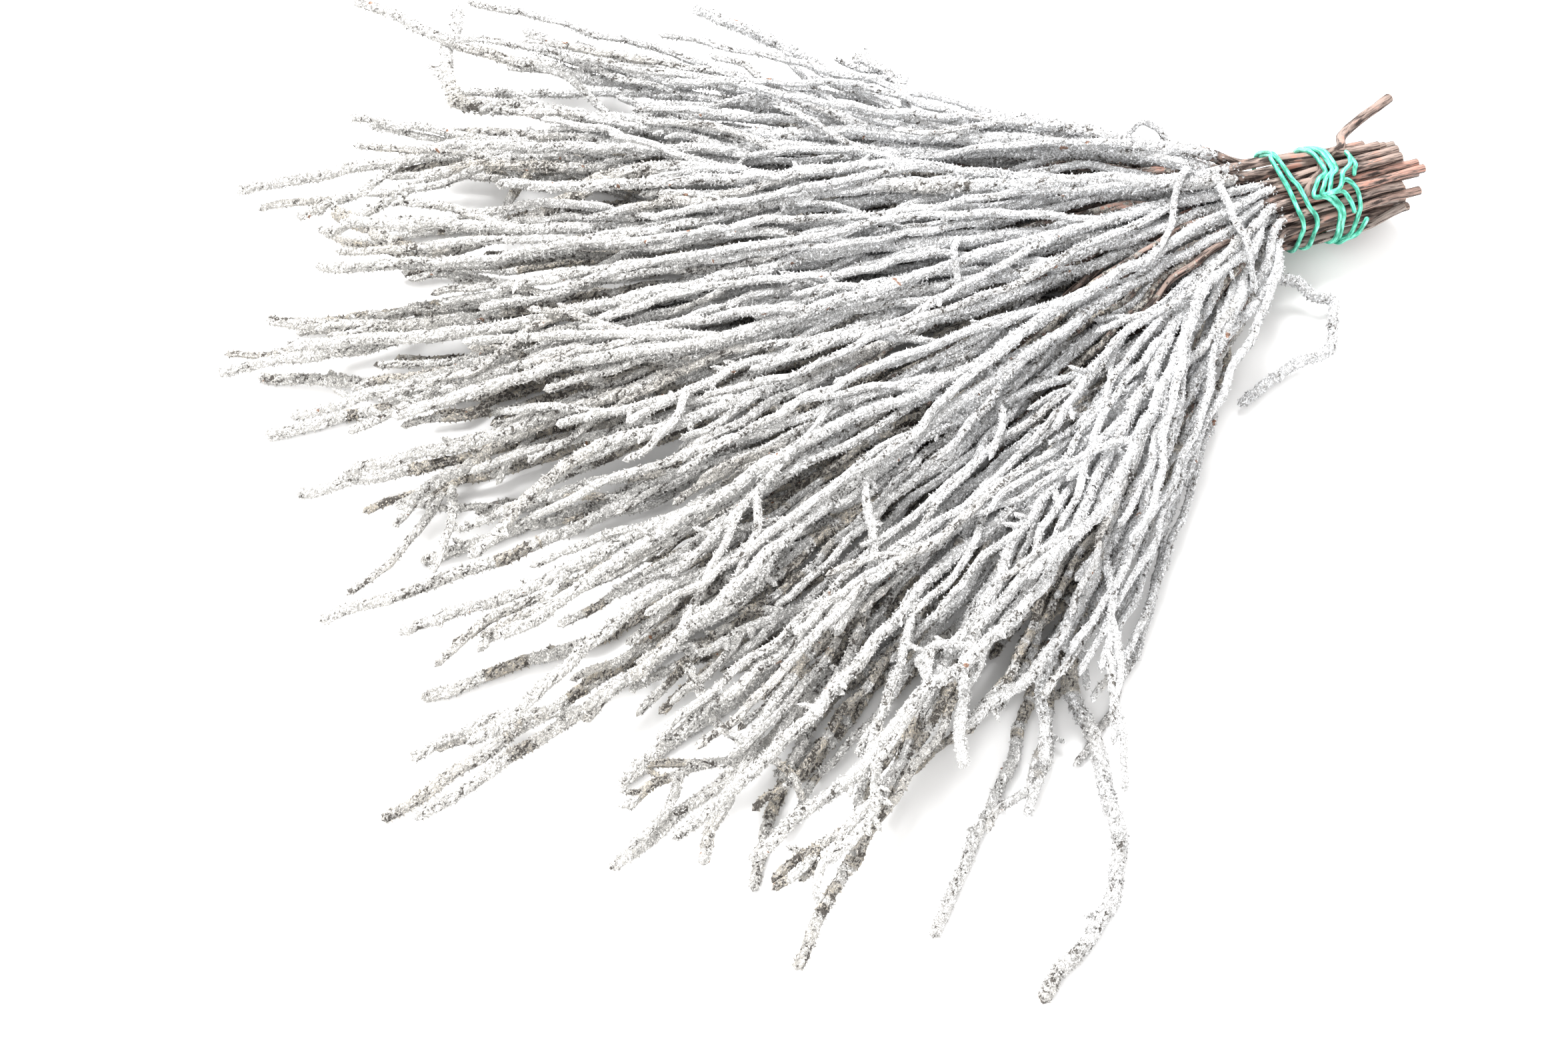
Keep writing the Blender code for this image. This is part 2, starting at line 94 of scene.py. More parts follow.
# Each twig: bearing of its tip from the tie, distance, heading at the tip, height, and its shoots, each as the point
# that it grows from, its turn and its length
TWIGS = (
    (44.5, 370, 56, 13, ((5, 10, 110), (6, -16, 75))),
    (45, 303, 66, 16, ((4, 10, 110), (6, -24, 50))),
    (37, 320, 26, 2, ((4, 8, 110), (6, -14, 80))),
    (33, 295, 27, 24, ((4, 14, 120), (5, -16, 80))),
    (29, 388, 4, 16, ((6, 9, 90), (7, -26, 45))),
    (30, 311, 23, 40, ((4, -12, 140), (6, 16, 55))),
    (27, 350, 14, 2, ((4, 14, 150), (5, -14, 100))),
    (25, 290, 27, 48, ((5, 16, 70), (4, -12, 100))),
    (24, 352, -20, 28, ((5, -16, 110), (6, 14, 60))),
    (23, 342, 32, 44, ((5, -10, 130), (7, 22, 40))),
    (21, 354, 24, 34, ((4, 12, 140), (6, -16, 70))),
    (21, 367, 27, 4, ((5, -14, 120), (7, -20, 45))),
    (19, 373, 32, 22, ((4, -14, 160), (6, 16, 60))),
    (18, 379, 40, 2, ((6, -22, 80), (5, 14, 100))),
    (17, 392, 14, 14, ((5, -12, 130), (7, 30, 25))),
    (15, 366, 22, 40, ((4, 12, 150), (6, -14, 80))),
    (14, 379, 17, 2, ((5, -14, 120), (6, 18, 60))),
    (12, 369, 7, 26, ((4, 14, 130), (7, -18, 45))),
    (9, 373, 9, 8, ((5, 14, 110), (7, -34, 30))),
    (8, 337, 7, 44, ((4, -12, 130), (6, 14, 70))),
    (7, 357, 9, 30, ((5, -14, 100), (6, 22, 55))),
    (5, 344, -10, 18, ((4, 14, 140), (6, 20, 60))),
    (3, 341, 10, 2, ((5, -16, 110), (7, 26, 35))),
    (1, 381, 7, 10, ((4, -12, 160), (6, 14, 80))),
    (-2, 333, -29, 38, ((4, 12, 120), (6, 16, 65))),
    (-3, 362, 6, 22, ((5, -14, 120), (7, -20, 40))),
    (-5, 363, 7, 2, ((4, 14, 150), (6, -20, 70))),
    (-8, 340, -10, 42, ((5, 12, 100), (6, -16, 60))),
    (-10, 397, -10, 4, ((5, -14, 130), (7, 20, 50))),
    (-12, 361, -22, 34, ((4, 12, 140), (6, -18, 60))),
    (-12, 392, -7, 18, ((5, 14, 120), (7, 20, 40))),
    (-15, 318, -31, 46, ((6, -38, 60), (4, 14, 110))),
    (-16, 331, -7, 2, ((4, -14, 120), (6, 16, 60))),
    (-18, 336, -15, 32, ((5, 14, 110), (6, -22, 60))),
    (-20, 357, -19, 12, ((4, -12, 150), (7, 22, 45))),
    (-23, 346, -14, 38, ((5, 14, 110), (6, -20, 60))),
    (-24, 341, -58, 22, ((4, 14, 130), (6, 24, 65))),
    (-26, 330, -52, 2, ((5, -14, 100), (6, 18, 60))),
    (-27, 339, -13, 42, ((4, -12, 130), (7, -24, 45))),
    (-29, 270, -14, 50, ((5, 16, 70), (4, -14, 90))),
    (-31, 350, -38, 14, ((5, 14, 130), (7, 26, 40))),
    (-32, 260, -13, 32, ((4, 14, 100), (6, -22, 45))),
    (-34, 276, -66, 40, ((5, -14, 80), (7, 50, 20))),
    (-36, 314, -40, 2, ((4, 14, 130), (6, -22, 60))),
    (-31, 211, -22, 52, ((4, 14, 90), (6, 34, 30))),
    (-38, 252, -64, 20, ((5, -12, 70), (6, 26, 50))),
    (-32, 174, -46, 40, ((5, 16, 50), (4, 20, 70))),
)

# The twigs that curl, turn back over their neighbours, or stand off the edges: their points as distances along -X and
# +Y and the height, and their shoots
CURL = ((34, 25, 38), (75, 56, 40), (130, 92, 36), (193, 131, 30), (232, 174, 22), (250, 192, 17),
        (246, 213, 14), (227, 242, 12))
TURNED_BACK = ((35, 12, 40), (80, 32, 45), (150, 70, 42), (225, 116, 38), (262, 112, 34), (290, 120, 30),
               (313, 158, 24))
UPPER_STRAY = ((34, 26, 38), (60, 46, 42), (88, 72, 42), (115, 92, 36), (118, 114, 28), (126, 146, 21),
               (149, 200, 12))
UPPER_EDGE = ((34, 26, 28), (62, 46, 30), (100, 74, 32), (138, 100, 30), (176, 124, 26), (215, 140, 20),
              (252, 164, 12))
LOWER_EDGE = ((34, -8, 22), (80, -40, 26), (134, -80, 20), (166, -112, 10), (178, -158, 4), (196, -196, 3),
              (236, -219, 3))
WANDERERS = (
    (CURL, ((5, 24, 40),)),
    (TURNED_BACK, ((5, -14, 70),)),
    (UPPER_STRAY, ((6, 40, 45),)),
    (UPPER_EDGE, ((3, 14, 90), (6, 20, 40))),
    (LOWER_EDGE, ((5, 30, 45),)),
)

# The shoot that bends back beside the tie, and the bare stub's two ends
HOOK_FROM = 3
HOOK = ((25, -13, 14), (18, -18, 12), (13, -26, 8), (8, -28, 6), (12, -36, 5), (19, -44, 4), (37, -47, 4),
        (61, -52, 4))

SPUR_END = (51, 29, 28)
SPUR_FOOT = (23, 20, 29)
SPUR_RADIUS = 1.65


def vary(number, kind):
    """A value between -1 and 1 that is settled by two whole numbers, and looks as if it were drawn at random."""
    return 2 * ((number * SCATTER[0] + kind * SCATTER[1]) % 1) - 1


def direction(heading):
    """The unit vector on the ground of a heading in degrees from -X towards +Y."""
    return np.array([-math.cos(math.radians(heading)), math.sin(math.radians(heading)), 0])


def grip_middle(x):
    """The grip's middle at x, as (y, z)."""
    return np.array([GRIP_SIDE + GRIP_SLOPE * x, GRIP_HEIGHT + 0 * x])


def seats(bearings, heights):
    """The place of each twig in the grip, as (y, z): the nearest places of a honeycomb, in the order of the bearings
    across it and of the heights up each column."""
    pitch = 2 * STEM_RADIUS + STEM_GAP
    cells = [
        ((column + row % 2 / 2) * pitch, row * pitch * math.sqrt(0.75))
        for row in range(-ROWS, ROWS + 1)
        for column in range(-ROWS, ROWS + 1)
    ]
    cells.sort(key=lambda cell: (round(math.hypot(*cell), 3), cell))
    places = sorted(cells[: len(bearings)])
    order = sorted(range(len(bearings)), key=lambda i: bearings[i])
    found = [None] * len(order)
    for twigs, column in zip(np.array_split(order, COLUMNS), np.array_split(np.array(places), COLUMNS)):
        twigs = sorted(twigs, key=lambda i: heights[i])
        column = sorted(column.tolist(), key=lambda cell: cell[1])
        for i, cell in zip(twigs, column):
            found[i] = cell
    return found


def drawn_course(number, seat, bearing, reach, heading, height):
    """A twig's points after the grip, on the cubic curve (1-t)^3 A + 3(1-t)^2 t B + 3(1-t) t^2 C + t^3 D, where A is
    its seat, D its tip, and B and C lie ahead of A and behind D. The points between stray a little to either side."""
    start = np.array([-GRIP_HALF, *(grip_middle(-GRIP_HALF) + seat)])
    tip = direction(bearing) * reach + (0, 0, height)
    length = np.linalg.norm(tip - start)
    first = start + direction(LEAVE[bearing < 0] * bearing) * length * HANDLES[0]
    second = tip - direction(heading) * length * HANDLES[1]
    first += (0, SPREAD * seat[0], SPREAD * seat[1])
    second[2] = TIP_SHARE * height + (1 - TIP_SHARE) * start[2]
    even = np.linspace(EVEN_FROM, 1, EVEN_POINTS)
    done = np.concatenate([[(CRUST_START - GRIP_HALF) / length], even])[:, None]
    left = 1 - done
    course = left**3 * start + 3 * left**2 * done * first + 3 * left * done**2 * second + done**3 * tip
    for i in range(1, len(course) - 1):
        course[i] += direction(bearing + 90) * WANDER * vary(number, i)
    return course


def stem_course(number, seat, course):
    """All points of a twig: the cut end, both ends of the straight part of the grip, and its course from there."""
    end = CUT_END + CUT_END_SPREAD * vary(number, 1)
    seat = np.array(seat)
    grip = [(end, *(grip_middle(end) + CUT_SPLAY * seat))]
    grip += [(x, *(grip_middle(x) + seat)) for x in (GRIP_HALF, -GRIP_HALF)]
    return np.vstack([grip, course])


def stem_radii(points):
    """A twig's radius at each of its points: thin bark in the grip, thickest a little past the start of the crust."""
    along = np.linspace(0, 1, len(points) - 3)
    crusted = CRUST_RADIUS + (TIP_RADIUS - CRUST_RADIUS) * along**TAPER
    crusted -= (CRUST_RADIUS - FIRST_RADIUS) * (1 - along) ** SWELL
    return np.concatenate([[STEM_RADIUS] * 3, crusted])


def shoot_course(number, points, start, turn, length):
    """A shoot's points, from a point of its twig: it leaves at the turn, and bends back to the twig's run."""
    ahead = points[min(start + 1, len(points) - 1)] - points[start - 1]
    heading = math.degrees(math.atan2(ahead[1], -ahead[0]))
    course = [points[start]]
    rise = SHOOT_RISE * vary(number, start + turn)
    spans = max(2, math.ceil(length / SHOOT_SPAN))
    for span, bend in enumerate(np.linspace(*SHOOT_BENDS, spans)):
        bent = turn * bend + SHOOT_STRAY * vary(number + span, turn)
        step = direction(heading + bent) + (0, 0, rise)
        course.append(course[-1] + step * length / spans)
    return np.array(course)


def shoot_radii(from_radius, course):
    """A shoot's radius at each of its points, from its twig's radius where it starts."""
    return np.linspace(from_radius * SHOOT_RATIO, SHOOT_TIP_RADIUS, len(course))


def draw_bunch():
    """Each twig as a list of (points, radii, start), its stem first, then its shoots, each starting at a stem point."""
    bearings = [row[0] for row in TWIGS]
    heights = [row[3] for row in TWIGS]
    for course, _ in WANDERERS:
        bearings.append(math.degrees(math.atan2(course[3][1], course[3][0])))
        heights.append(course[2][2])
    bunch = []
    for number, seat in enumerate(seats(bearings, heights)):
        if number < len(TWIGS):
            course = drawn_course(number, seat, *TWIGS[number][:4])
            shoots = TWIGS[number][4]
        else:
            course, shoots = WANDERERS[number - len(TWIGS)]
            course = np.array(course) * (-1, 1, 1)
        points = stem_course(number, seat, course)
        radii = stem_radii(points)
        twig = [(points, radii, None)]
        for start, turn, length in shoots:
            course = shoot_course(number, points, start, turn, length)
            twig.append((course, shoot_radii(radii[start], course), start))
        if number == len(TWIGS) - 1:
            course = np.vstack([points[HOOK_FROM], np.array(HOOK) * (-1, 1, 1)])
            twig.append((course, shoot_radii(radii[HOOK_FROM], course), HOOK_FROM))
        bunch.append(twig)
    spur = np.array([SPUR_END, SPUR_FOOT], float)
    bunch.append([(spur, np.array([SPUR_RADIUS] * 2), None)])
    return bunch


def closest(a, b, c, d):
    """The nearest places of the segments a-b and c-d, as two fractions along them, for arrays of segments."""
    u, v, w = b - a, d - c, a - c
    uu, vv, uv = (u * u).sum(1), (v * v).sum(1), (u * v).sum(1)
    uw, vw = (u * w).sum(1), (v * w).sum(1)
    s = np.clip((uv * vw - uw * vv) / np.maximum(uu * vv - uv * uv, 1e-9), 0, 1)
    t = np.clip((uv * s + vw) / vv, 0, 1)
    return np.clip((uv * t - uw) / uu, 0, 1), t


def settle(bunch, fine=(), steps=STEPS):
    """The twigs pushed apart and off the ground. Each step moves a touching pair apart by what it is short of its room,
    shared out by how near each point is. Where there are fine twigs, as (owner, points, radii), only they move.
    Gives the points of the twigs in the same lists, and those of the fine twigs."""
    strands = [(number, *strand) for number, twig in enumerate(bunch) for strand in twig]
    strands += [(number, course, thick, None) for number, course, thick in fine]
    points, radii, owner, chains = [], [], [], []
    for number, course, thick, start in strands:
        shared = 0 if start is None else 1  # a shoot's first point is its stem's
        chain = list(range(len(points) - shared, len(points) - shared + len(course)))
        if shared:
            chain[0] = stem[start]
        else:
            stem = chain
        points += list(course[shared:])
        radii += list(thick[shared:])
        owner += [number] * (len(course) - shared)
        chains.append(chain)
    starts, ends, inner, before, after = (
        np.concatenate([chain[part] for chain in chains]).astype(int)
        for part in (slice(-1), slice(1, None), slice(1, -1), slice(-2), slice(2, None))
    )
    held = chains[-len(fine)][0] if fine else 0
    loose = np.ones(len(points))
    loose[:held] = 0
    loose[[chain[0] for chain in chains[len(chains) - len(fine):]]] = 0
    points, radii, owner = np.array(points), np.array(radii), np.array(owner)[ends]
    drawn = points.copy()
    under_wire = np.abs(drawn[:, 0]) < GRIP_HALF + WIRE_MARGIN
    lowest = radii + np.where(under_wire, 2 * (WIRE_RADIUS + WIRE_GAP), 0)
    for step in range(steps):
        fading = max(0, 1 - step / (PULL_UNTIL * steps))
        points += PULL * fading * (drawn - points)
        moved = points - drawn
        points[inner] += SMOOTH * fading * ((moved[before] + moved[after]) / 2 - moved[inner])
        if step % LISTING_STEP == 0:
            low = np.minimum(points[starts], points[ends]) - LISTING_REACH / 2
            high = np.maximum(points[starts], points[ends]) + LISTING_REACH / 2
            near = owner[:, None] < owner[None]
            if fine:
                near = owner[:, None] != owner[None]
                near &= (ends[:, None] >= held) & ((ends[None] < held) | (ends[:, None] < ends[None]))
            for axis in range(3):
                near &= low[:, None, axis] < high[None, :, axis]
                near &= low[None, :, axis] < high[:, None, axis]
            first, second = np.nonzero(near)
        a, b, c, d = starts[first], ends[first], starts[second], ends[second]
        s, t = closest(points[a], points[b], points[c], points[d])
        weights = np.stack([1 - s, s, t - 1, -t])
        corners = np.stack([a, b, c, d])
        apart = (weights[..., None] * points[corners]).sum(0)
        distance = np.maximum(np.linalg.norm(apart, axis=1), 1e-6)
        room = (np.abs(weights) * radii[corners]).sum(0) + TWIG_GAP
        short = np.maximum(room - distance, 0)
        touching = short > 0
        apart[distance < TOO_CLOSE] = (0, 0, 1)
        weights = weights * loose[corners]
        push = (short / distance / np.maximum((weights**2).sum(0), LEAST_GIVE))[:, None] * apart
        total = np.zeros_like(points)
        count = np.zeros(len(points))
        for corner, weight in zip(corners, weights):
            np.add.at(total, corner[touching], (weight[:, None] * push)[touching])
            np.add.at(count, corner[touching], np.abs(weight[touching]))
        points += PUSH * total / np.maximum(count, 1)[:, None]
        if fine:
            points = drawn + np.clip(points - drawn, -FINE_REACH, FINE_REACH)
        points[:, 2] = np.maximum(points[:, 2], lowest)
        points = np.round(points, 6)
    chains = iter(chains)
    laid = [[(points[next(chains)], thick, start) for _, thick, start in twig] for twig in bunch]
    return laid, [points[next(chains)] for _ in fine]


bunch, _ = settle(draw_bunch())
low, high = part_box("bare_twig")
SHIFT = (np.array(low) + np.array(high)) / 2 * 1000 - bunch[-1][0][0].mean(0)  # from the tie to the row frame, in mm

# FINE TWIGS. Every real twig carries thinner ones than its two or three main shoots: long ones that run beside it,
# short ones that stand off it, and bare ones that stayed inside the bunch, near the table, where little snow got in,
# whose dark colour also stands as painted shade in the bunch's gaps.
FINE_STEPS = 150  # of settling
COMPANIONS = 3  # on each twig
COMPANION_RADII = (2.0, 1.45)
COMPANION_FROM = (0.2, 0.62)  # share of the twig's length
COMPANION_TURN = (6, 15)
COMPANION_REACH = (0.65, 0.95)  # share of what is left of the twig
COMPANION_LONGEST = 190
COMPANION_SLOPE = (-0.06, 0.05)
SIDE_TWIGS = 4
SIDE_RADII = (1.75, 1.3)
SIDE_FROM = ((0.45, 0.93), (0.2, 0.85))  # share of a stem's length, and of a shoot's
SIDE_TURN = (16, 36)
SIDE_REACH = (18, 52)
SIDE_SLOPE = (-0.15, 0.2)
BEND_LEFT = 0.25  # of a fine twig's turn, at its tip
BEND_STRAY = 3
SLOPE_STRAY = 0.03
TRIALS = 8
FIRST_TRIALS = 3  # of which the best is taken, if its tip is
ON_A_TWIG = 8  # nearer than this to a main twig, and if not, the best of all
# Short twigs that lie across the others or arch off them: their points as distances along -X and +Y and the height
ACROSS = (
    ((39, 22, 43), (50, 11, 42), (57, 8, 38), (68, -6, 40)),
    ((33, 11, 45), (37, -1, 40), (41, -16, 41), (44, -28, 30)),
    ((100, -25, 38), (106, -36, 38), (111, -48, 37)),
    ((127, 31, 37), (135, 20, 42), (139, 11, 41)),
    ((146, -33, 30), (153, -42, 30), (161, -49, 28)),
    ((38, 38, 36), (56, 55, 38), (79, 65, 36), (92, 68, 34)),
    ((37, 38, 36), (39, 46, 40), (43, 50, 41), (51, 49, 38)),
    ((239, 140, 16), (253, 140, 15), (261, 133, 14), (279, 130, 13), (304, 145, 11), (317, 166, 8)),
    ((285, -74, 30), (285, -91, 28), (280, -105, 22), (274, -113, 18), (272, -130, 16)),
    ((282, -76, 24), (289, -72, 18), (304, -75, 12)),
)
ACROSS_RADII = (1.9, 1.35)
HIGHEST = 44  # that a fine twig is drawn
INNER_TWIGS = 60
INNER_RADII = (1.6, 1.1)
INNER_FAN = (-33, 72)  # the first bearing, and how many degrees they span
INNER_REACH = (160, 285)
INNER_EDGE = -22  # the bearing below which they are shorter
INNER_SHORT = 0.72
INNER_HEIGHT = (2, 16)
INNER_SEAT = (0.32, 1.5)  # to the side, for each degree of bearing and at random
INNER_SEAT_UP = (-12, 8)
INNER_STRAY = 10
INNER_NUMBER = 90  # of the first
PLACES = 23  # between two points of a strand


def place_on(course, share):
    """The point at a share of a course's length, and the course's heading there in degrees."""
    spans = np.linalg.norm(np.diff(course, axis=0), axis=1)
    at = np.concatenate([[0], np.cumsum(spans)])
    far = share * at[-1]
    i = min(int(np.searchsorted(at, far, "right")) - 1, len(spans) - 1)
    step = (course[i + 1] - course[i]) / spans[i]
    return course[i] + step * (far - at[i]), math.degrees(math.atan2(step[1], -step[0]))


def offshoot(rng, course, share, turn, length, spans, slope):
    """A fine twig's points: equal steps from its place on the parent, whose heading goes from the full turn to nearly
    none, with a little chance in each."""
    start, heading = place_on(course, share)
    bends = turn * np.linspace(1, BEND_LEFT, spans) + rng.normal(0, BEND_STRAY, spans)
    steps = np.array([direction(heading + bend) for bend in bends])
    steps[:, 2] = slope + rng.normal(0, SLOPE_STRAY, spans)
    return np.vstack([start, start + np.cumsum(steps * length / spans, axis=0)])


def lying_on(course):
    """How far a fine twig's tip lies from the nearest main twig, as seen from above."""
    return np.linalg.norm(main_points[:, :2] - course[-1, :2], axis=1).min()


def between(points):
    """Places at equal steps from each of a strand's points to the next."""
    return points[:-1] + np.linspace(0, 1, PLACES + 1)[:-1, None, None] * (points[1:] - points[:-1])


main_points = np.concatenate([between(points).reshape(-1, 3) for twig in bunch for points, _, _ in twig])
fine = []  # (twig, points, radii)
parents = []  # the strand of that twig that each of them grows from
for number, twig in enumerate(bunch[:-1]):
    rng = np.random.default_rng(100 + number)
    stem = twig[0][0]
    length = np.linalg.norm(np.diff(stem, axis=0), axis=1).sum()
    for i in range(COMPANIONS + SIDE_TWIGS):
        beside = i < COMPANIONS
        strand = 0 if beside else int(rng.integers(0, len(twig)))
        drawn = []
        for trial in range(TRIALS):
            if beside:
                share = rng.uniform(*COMPANION_FROM)
                turn = rng.choice((-1, 1)) * rng.uniform(*COMPANION_TURN)
                reach = min((1 - share) * length * rng.uniform(*COMPANION_REACH), COMPANION_LONGEST)
                course = offshoot(rng, stem, share, turn, reach, 5, rng.uniform(*COMPANION_SLOPE))
            else:
                share = rng.uniform(*SIDE_FROM[strand > 0])
                turn = rng.choice((-1, 1)) * rng.uniform(*SIDE_TURN)
                reach = rng.uniform(*SIDE_REACH)
                course = offshoot(rng, twig[strand][0], share, turn, reach, 3, rng.uniform(*SIDE_SLOPE))
            drawn.append((lying_on(course), trial, course))
        first = min(drawn[:FIRST_TRIALS])
        course = (first if first[0] < ON_A_TWIG else min(drawn))[2]
        course[:, 2] = np.minimum(course[:, 2], HIGHEST)
        fine.append((number, course, np.linspace(*(COMPANION_RADII if beside else SIDE_RADII), len(course))))
        parents.append(strand)
strands = [
    (number, strand, points)
    for number, twig in enumerate(bunch[:-1])
    for strand, (points, _, _) in enumerate(twig)
]
for route in ACROSS:
    course = np.array(route) * (-1.0, 1, 1)
    far = [np.linalg.norm(between(points) - course[0], axis=2).min() for _, _, points in strands]
    number, strand, _ = strands[int(np.argmin(far))]
    fine.append((number, course, np.linspace(*ACROSS_RADII, len(course))))
    parents.append(strand)
grown = len(fine)
rng = np.random.default_rng(7)
for number in range(INNER_TWIGS):
    bearing = INNER_FAN[0] + INNER_FAN[1] * (number + rng.uniform(0, 1)) / INNER_TWIGS
    reach = rng.uniform(*INNER_REACH) * (INNER_SHORT if bearing < INNER_EDGE else 1)
    height = rng.uniform(*INNER_HEIGHT)
    seat = (INNER_SEAT[0] * bearing + rng.normal(0, INNER_SEAT[1]), rng.uniform(*INNER_SEAT_UP))
    heading = bearing + rng.normal(0, INNER_STRAY)
    course = drawn_course(number + INNER_NUMBER, seat, bearing, reach, heading, height)
    fine.append((number + INNER_NUMBER, course, np.linspace(*INNER_RADII, len(course))))
_, laid = settle(bunch, fine, FINE_STEPS)

# BARK AND SNOW CRUST. The bark is thin, brown and smooth with reddish streaks along the twig. The crust is a coat of
# glue and paper flock, blown on in crumbs and small flakes that stand up: white where it is thick, with painted shade
# in grey crinkles and dark pits, cream where the glue shows, duller deep under the bunch, where this is partly painted
# shade, and gone to the bark in places.
BARK_DARK = (0.034, 0.023, 0.020)
BARK_LIGHT = (0.285, 0.215, 0.185)
BARK_RED = (0.42, 0.19, 0.14)
BARK_GREY = (0.30, 0.26, 0.235)
BARK_SPECK = (0.42, 0.34, 0.29)
CUT_WOOD = (0.40, 0.30, 0.21)
SNOW_WARM = (0.90, 0.885, 0.85)  # towards the tips at the left
SNOW_COOL = (0.88, 0.89, 0.905)  # towards the tie
CREAM = (0.54, 0.485, 0.40)
# Painted shade of the crust: grey in its crinkles and shallow pits, near-black in its deep pits
CREVICE_SHADE = (0.43, 0.42, 0.41)
PIT_SHADE = (0.085, 0.075, 0.065)
BUD = (0.30, 0.12, 0.045)


class Reading:
    """A socket of a material's nodes. Python's +, - and * on it, and abs(), add the Math nodes that work them out."""

    def __init__(self, tree, socket=None):
        self.tree = tree
        self.socket = socket

    def node(self, kind, settings=(), sockets=(), out=0):
        """A new node: its settings are set first, then its sockets are given their values or links."""
        made = self.tree.nodes.new(kind)
        for name, value in dict(settings).items():
            setattr(made, name, value)
        for key, value in dict(sockets).items():
            socket = made.inputs[key]
            if isinstance(value, Reading):
                self.tree.links.new(value.socket, socket)
            elif isinstance(value, tuple) and socket.type == "RGBA":
                socket.default_value = (*value, 1)
            else:
                socket.default_value = value
        return Reading(self.tree, made.outputs[out])

    def maths(self, operation, *numbers):
        """One operation on numbers or readings."""
        return self.node("ShaderNodeMath", {"operation": operation}, enumerate(numbers))

    def __add__(self, other):
        return self.maths("ADD", self, other)

    def __sub__(self, other):
        return self.maths("SUBTRACT", self, other)

    def __rsub__(self, other):
        return self.maths("SUBTRACT", other, self)

    def __mul__(self, other):
        return self.maths("MULTIPLY", self, other)

    __radd__, __rmul__ = __add__, __mul__

    def __abs__(self):
        return self.maths("ABSOLUTE", self)

    def step(self, low, high):
        """0 below low, 1 above high, and an even S between. With low above high it falls instead."""
        if low > high:
            return 1 - self.step(high, low)
        settings = {"interpolation_type": "SMOOTHSTEP"}
        return self.node("ShaderNodeMapRange", settings, {"Value": self, "From Min": low, "From Max": high})

    def place(self):
        """The object's own coordinates."""
        return self.node("ShaderNodeTexCoord", out="Object")

    def attribute(self, name):
        """A vector that the piece holds for each of its points."""
        return self.node("ShaderNodeAttribute", {"attribute_name": name}, out="Vector")

    def part(self, axis):
        """One of a vector's three numbers."""
        return self.node("ShaderNodeSeparateXYZ", (), {0: self}, axis)

    def noise(self, size, detail=2, distortion=0.0, where=None):
        """Noise with features of about that many millimetres, 0 to 1, over the object's own coordinates."""
        where = where or self.place()
        sockets = {"Vector": where, "Scale": 1000 / size, "Detail": detail, "Distortion": distortion}
        return self.node("ShaderNodeTexNoise", (), sockets)

    def streaks(self, around, along, size, detail, distortion):
        """Noise that is drawn out along a strand: over its attribute lay, times one factor round it and one along."""
        factors = {0: self.attribute("lay"), 1: (around, around, along)}
        drawn_out = self.node("ShaderNodeVectorMath", {"operation": "MULTIPLY"}, factors)
        return self.noise(size, detail, distortion, drawn_out)

    def mixed(self, first, second):
        """first where this reading is 0, second where it is 1, as colours."""
        return self.node("ShaderNodeMix", {"data_type": "RGBA"}, {0: self, 6: first, 7: second}, 2)

    def into(self, shader, socket):
        """Lets this reading drive one of the shader's sockets."""
        self.tree.links.new(self.socket, shader.inputs[socket])

    def bumps(self, shader, distance, strength):
        """Gives the shader's surface bumps of that distance in metres where this reading goes from 0 to 1."""
        sockets = {"Strength": strength, "Distance": distance, "Height": self}
        self.node("ShaderNodeBump", (), sockets).into(shader, "Normal")


def finish_of(name):
    """A new material, its Reading, and its shader node."""
    made = bpy.data.materials.new(name)
    made.use_nodes = True
    return made, Reading(made.node_tree), made.node_tree.nodes["Principled BSDF"]


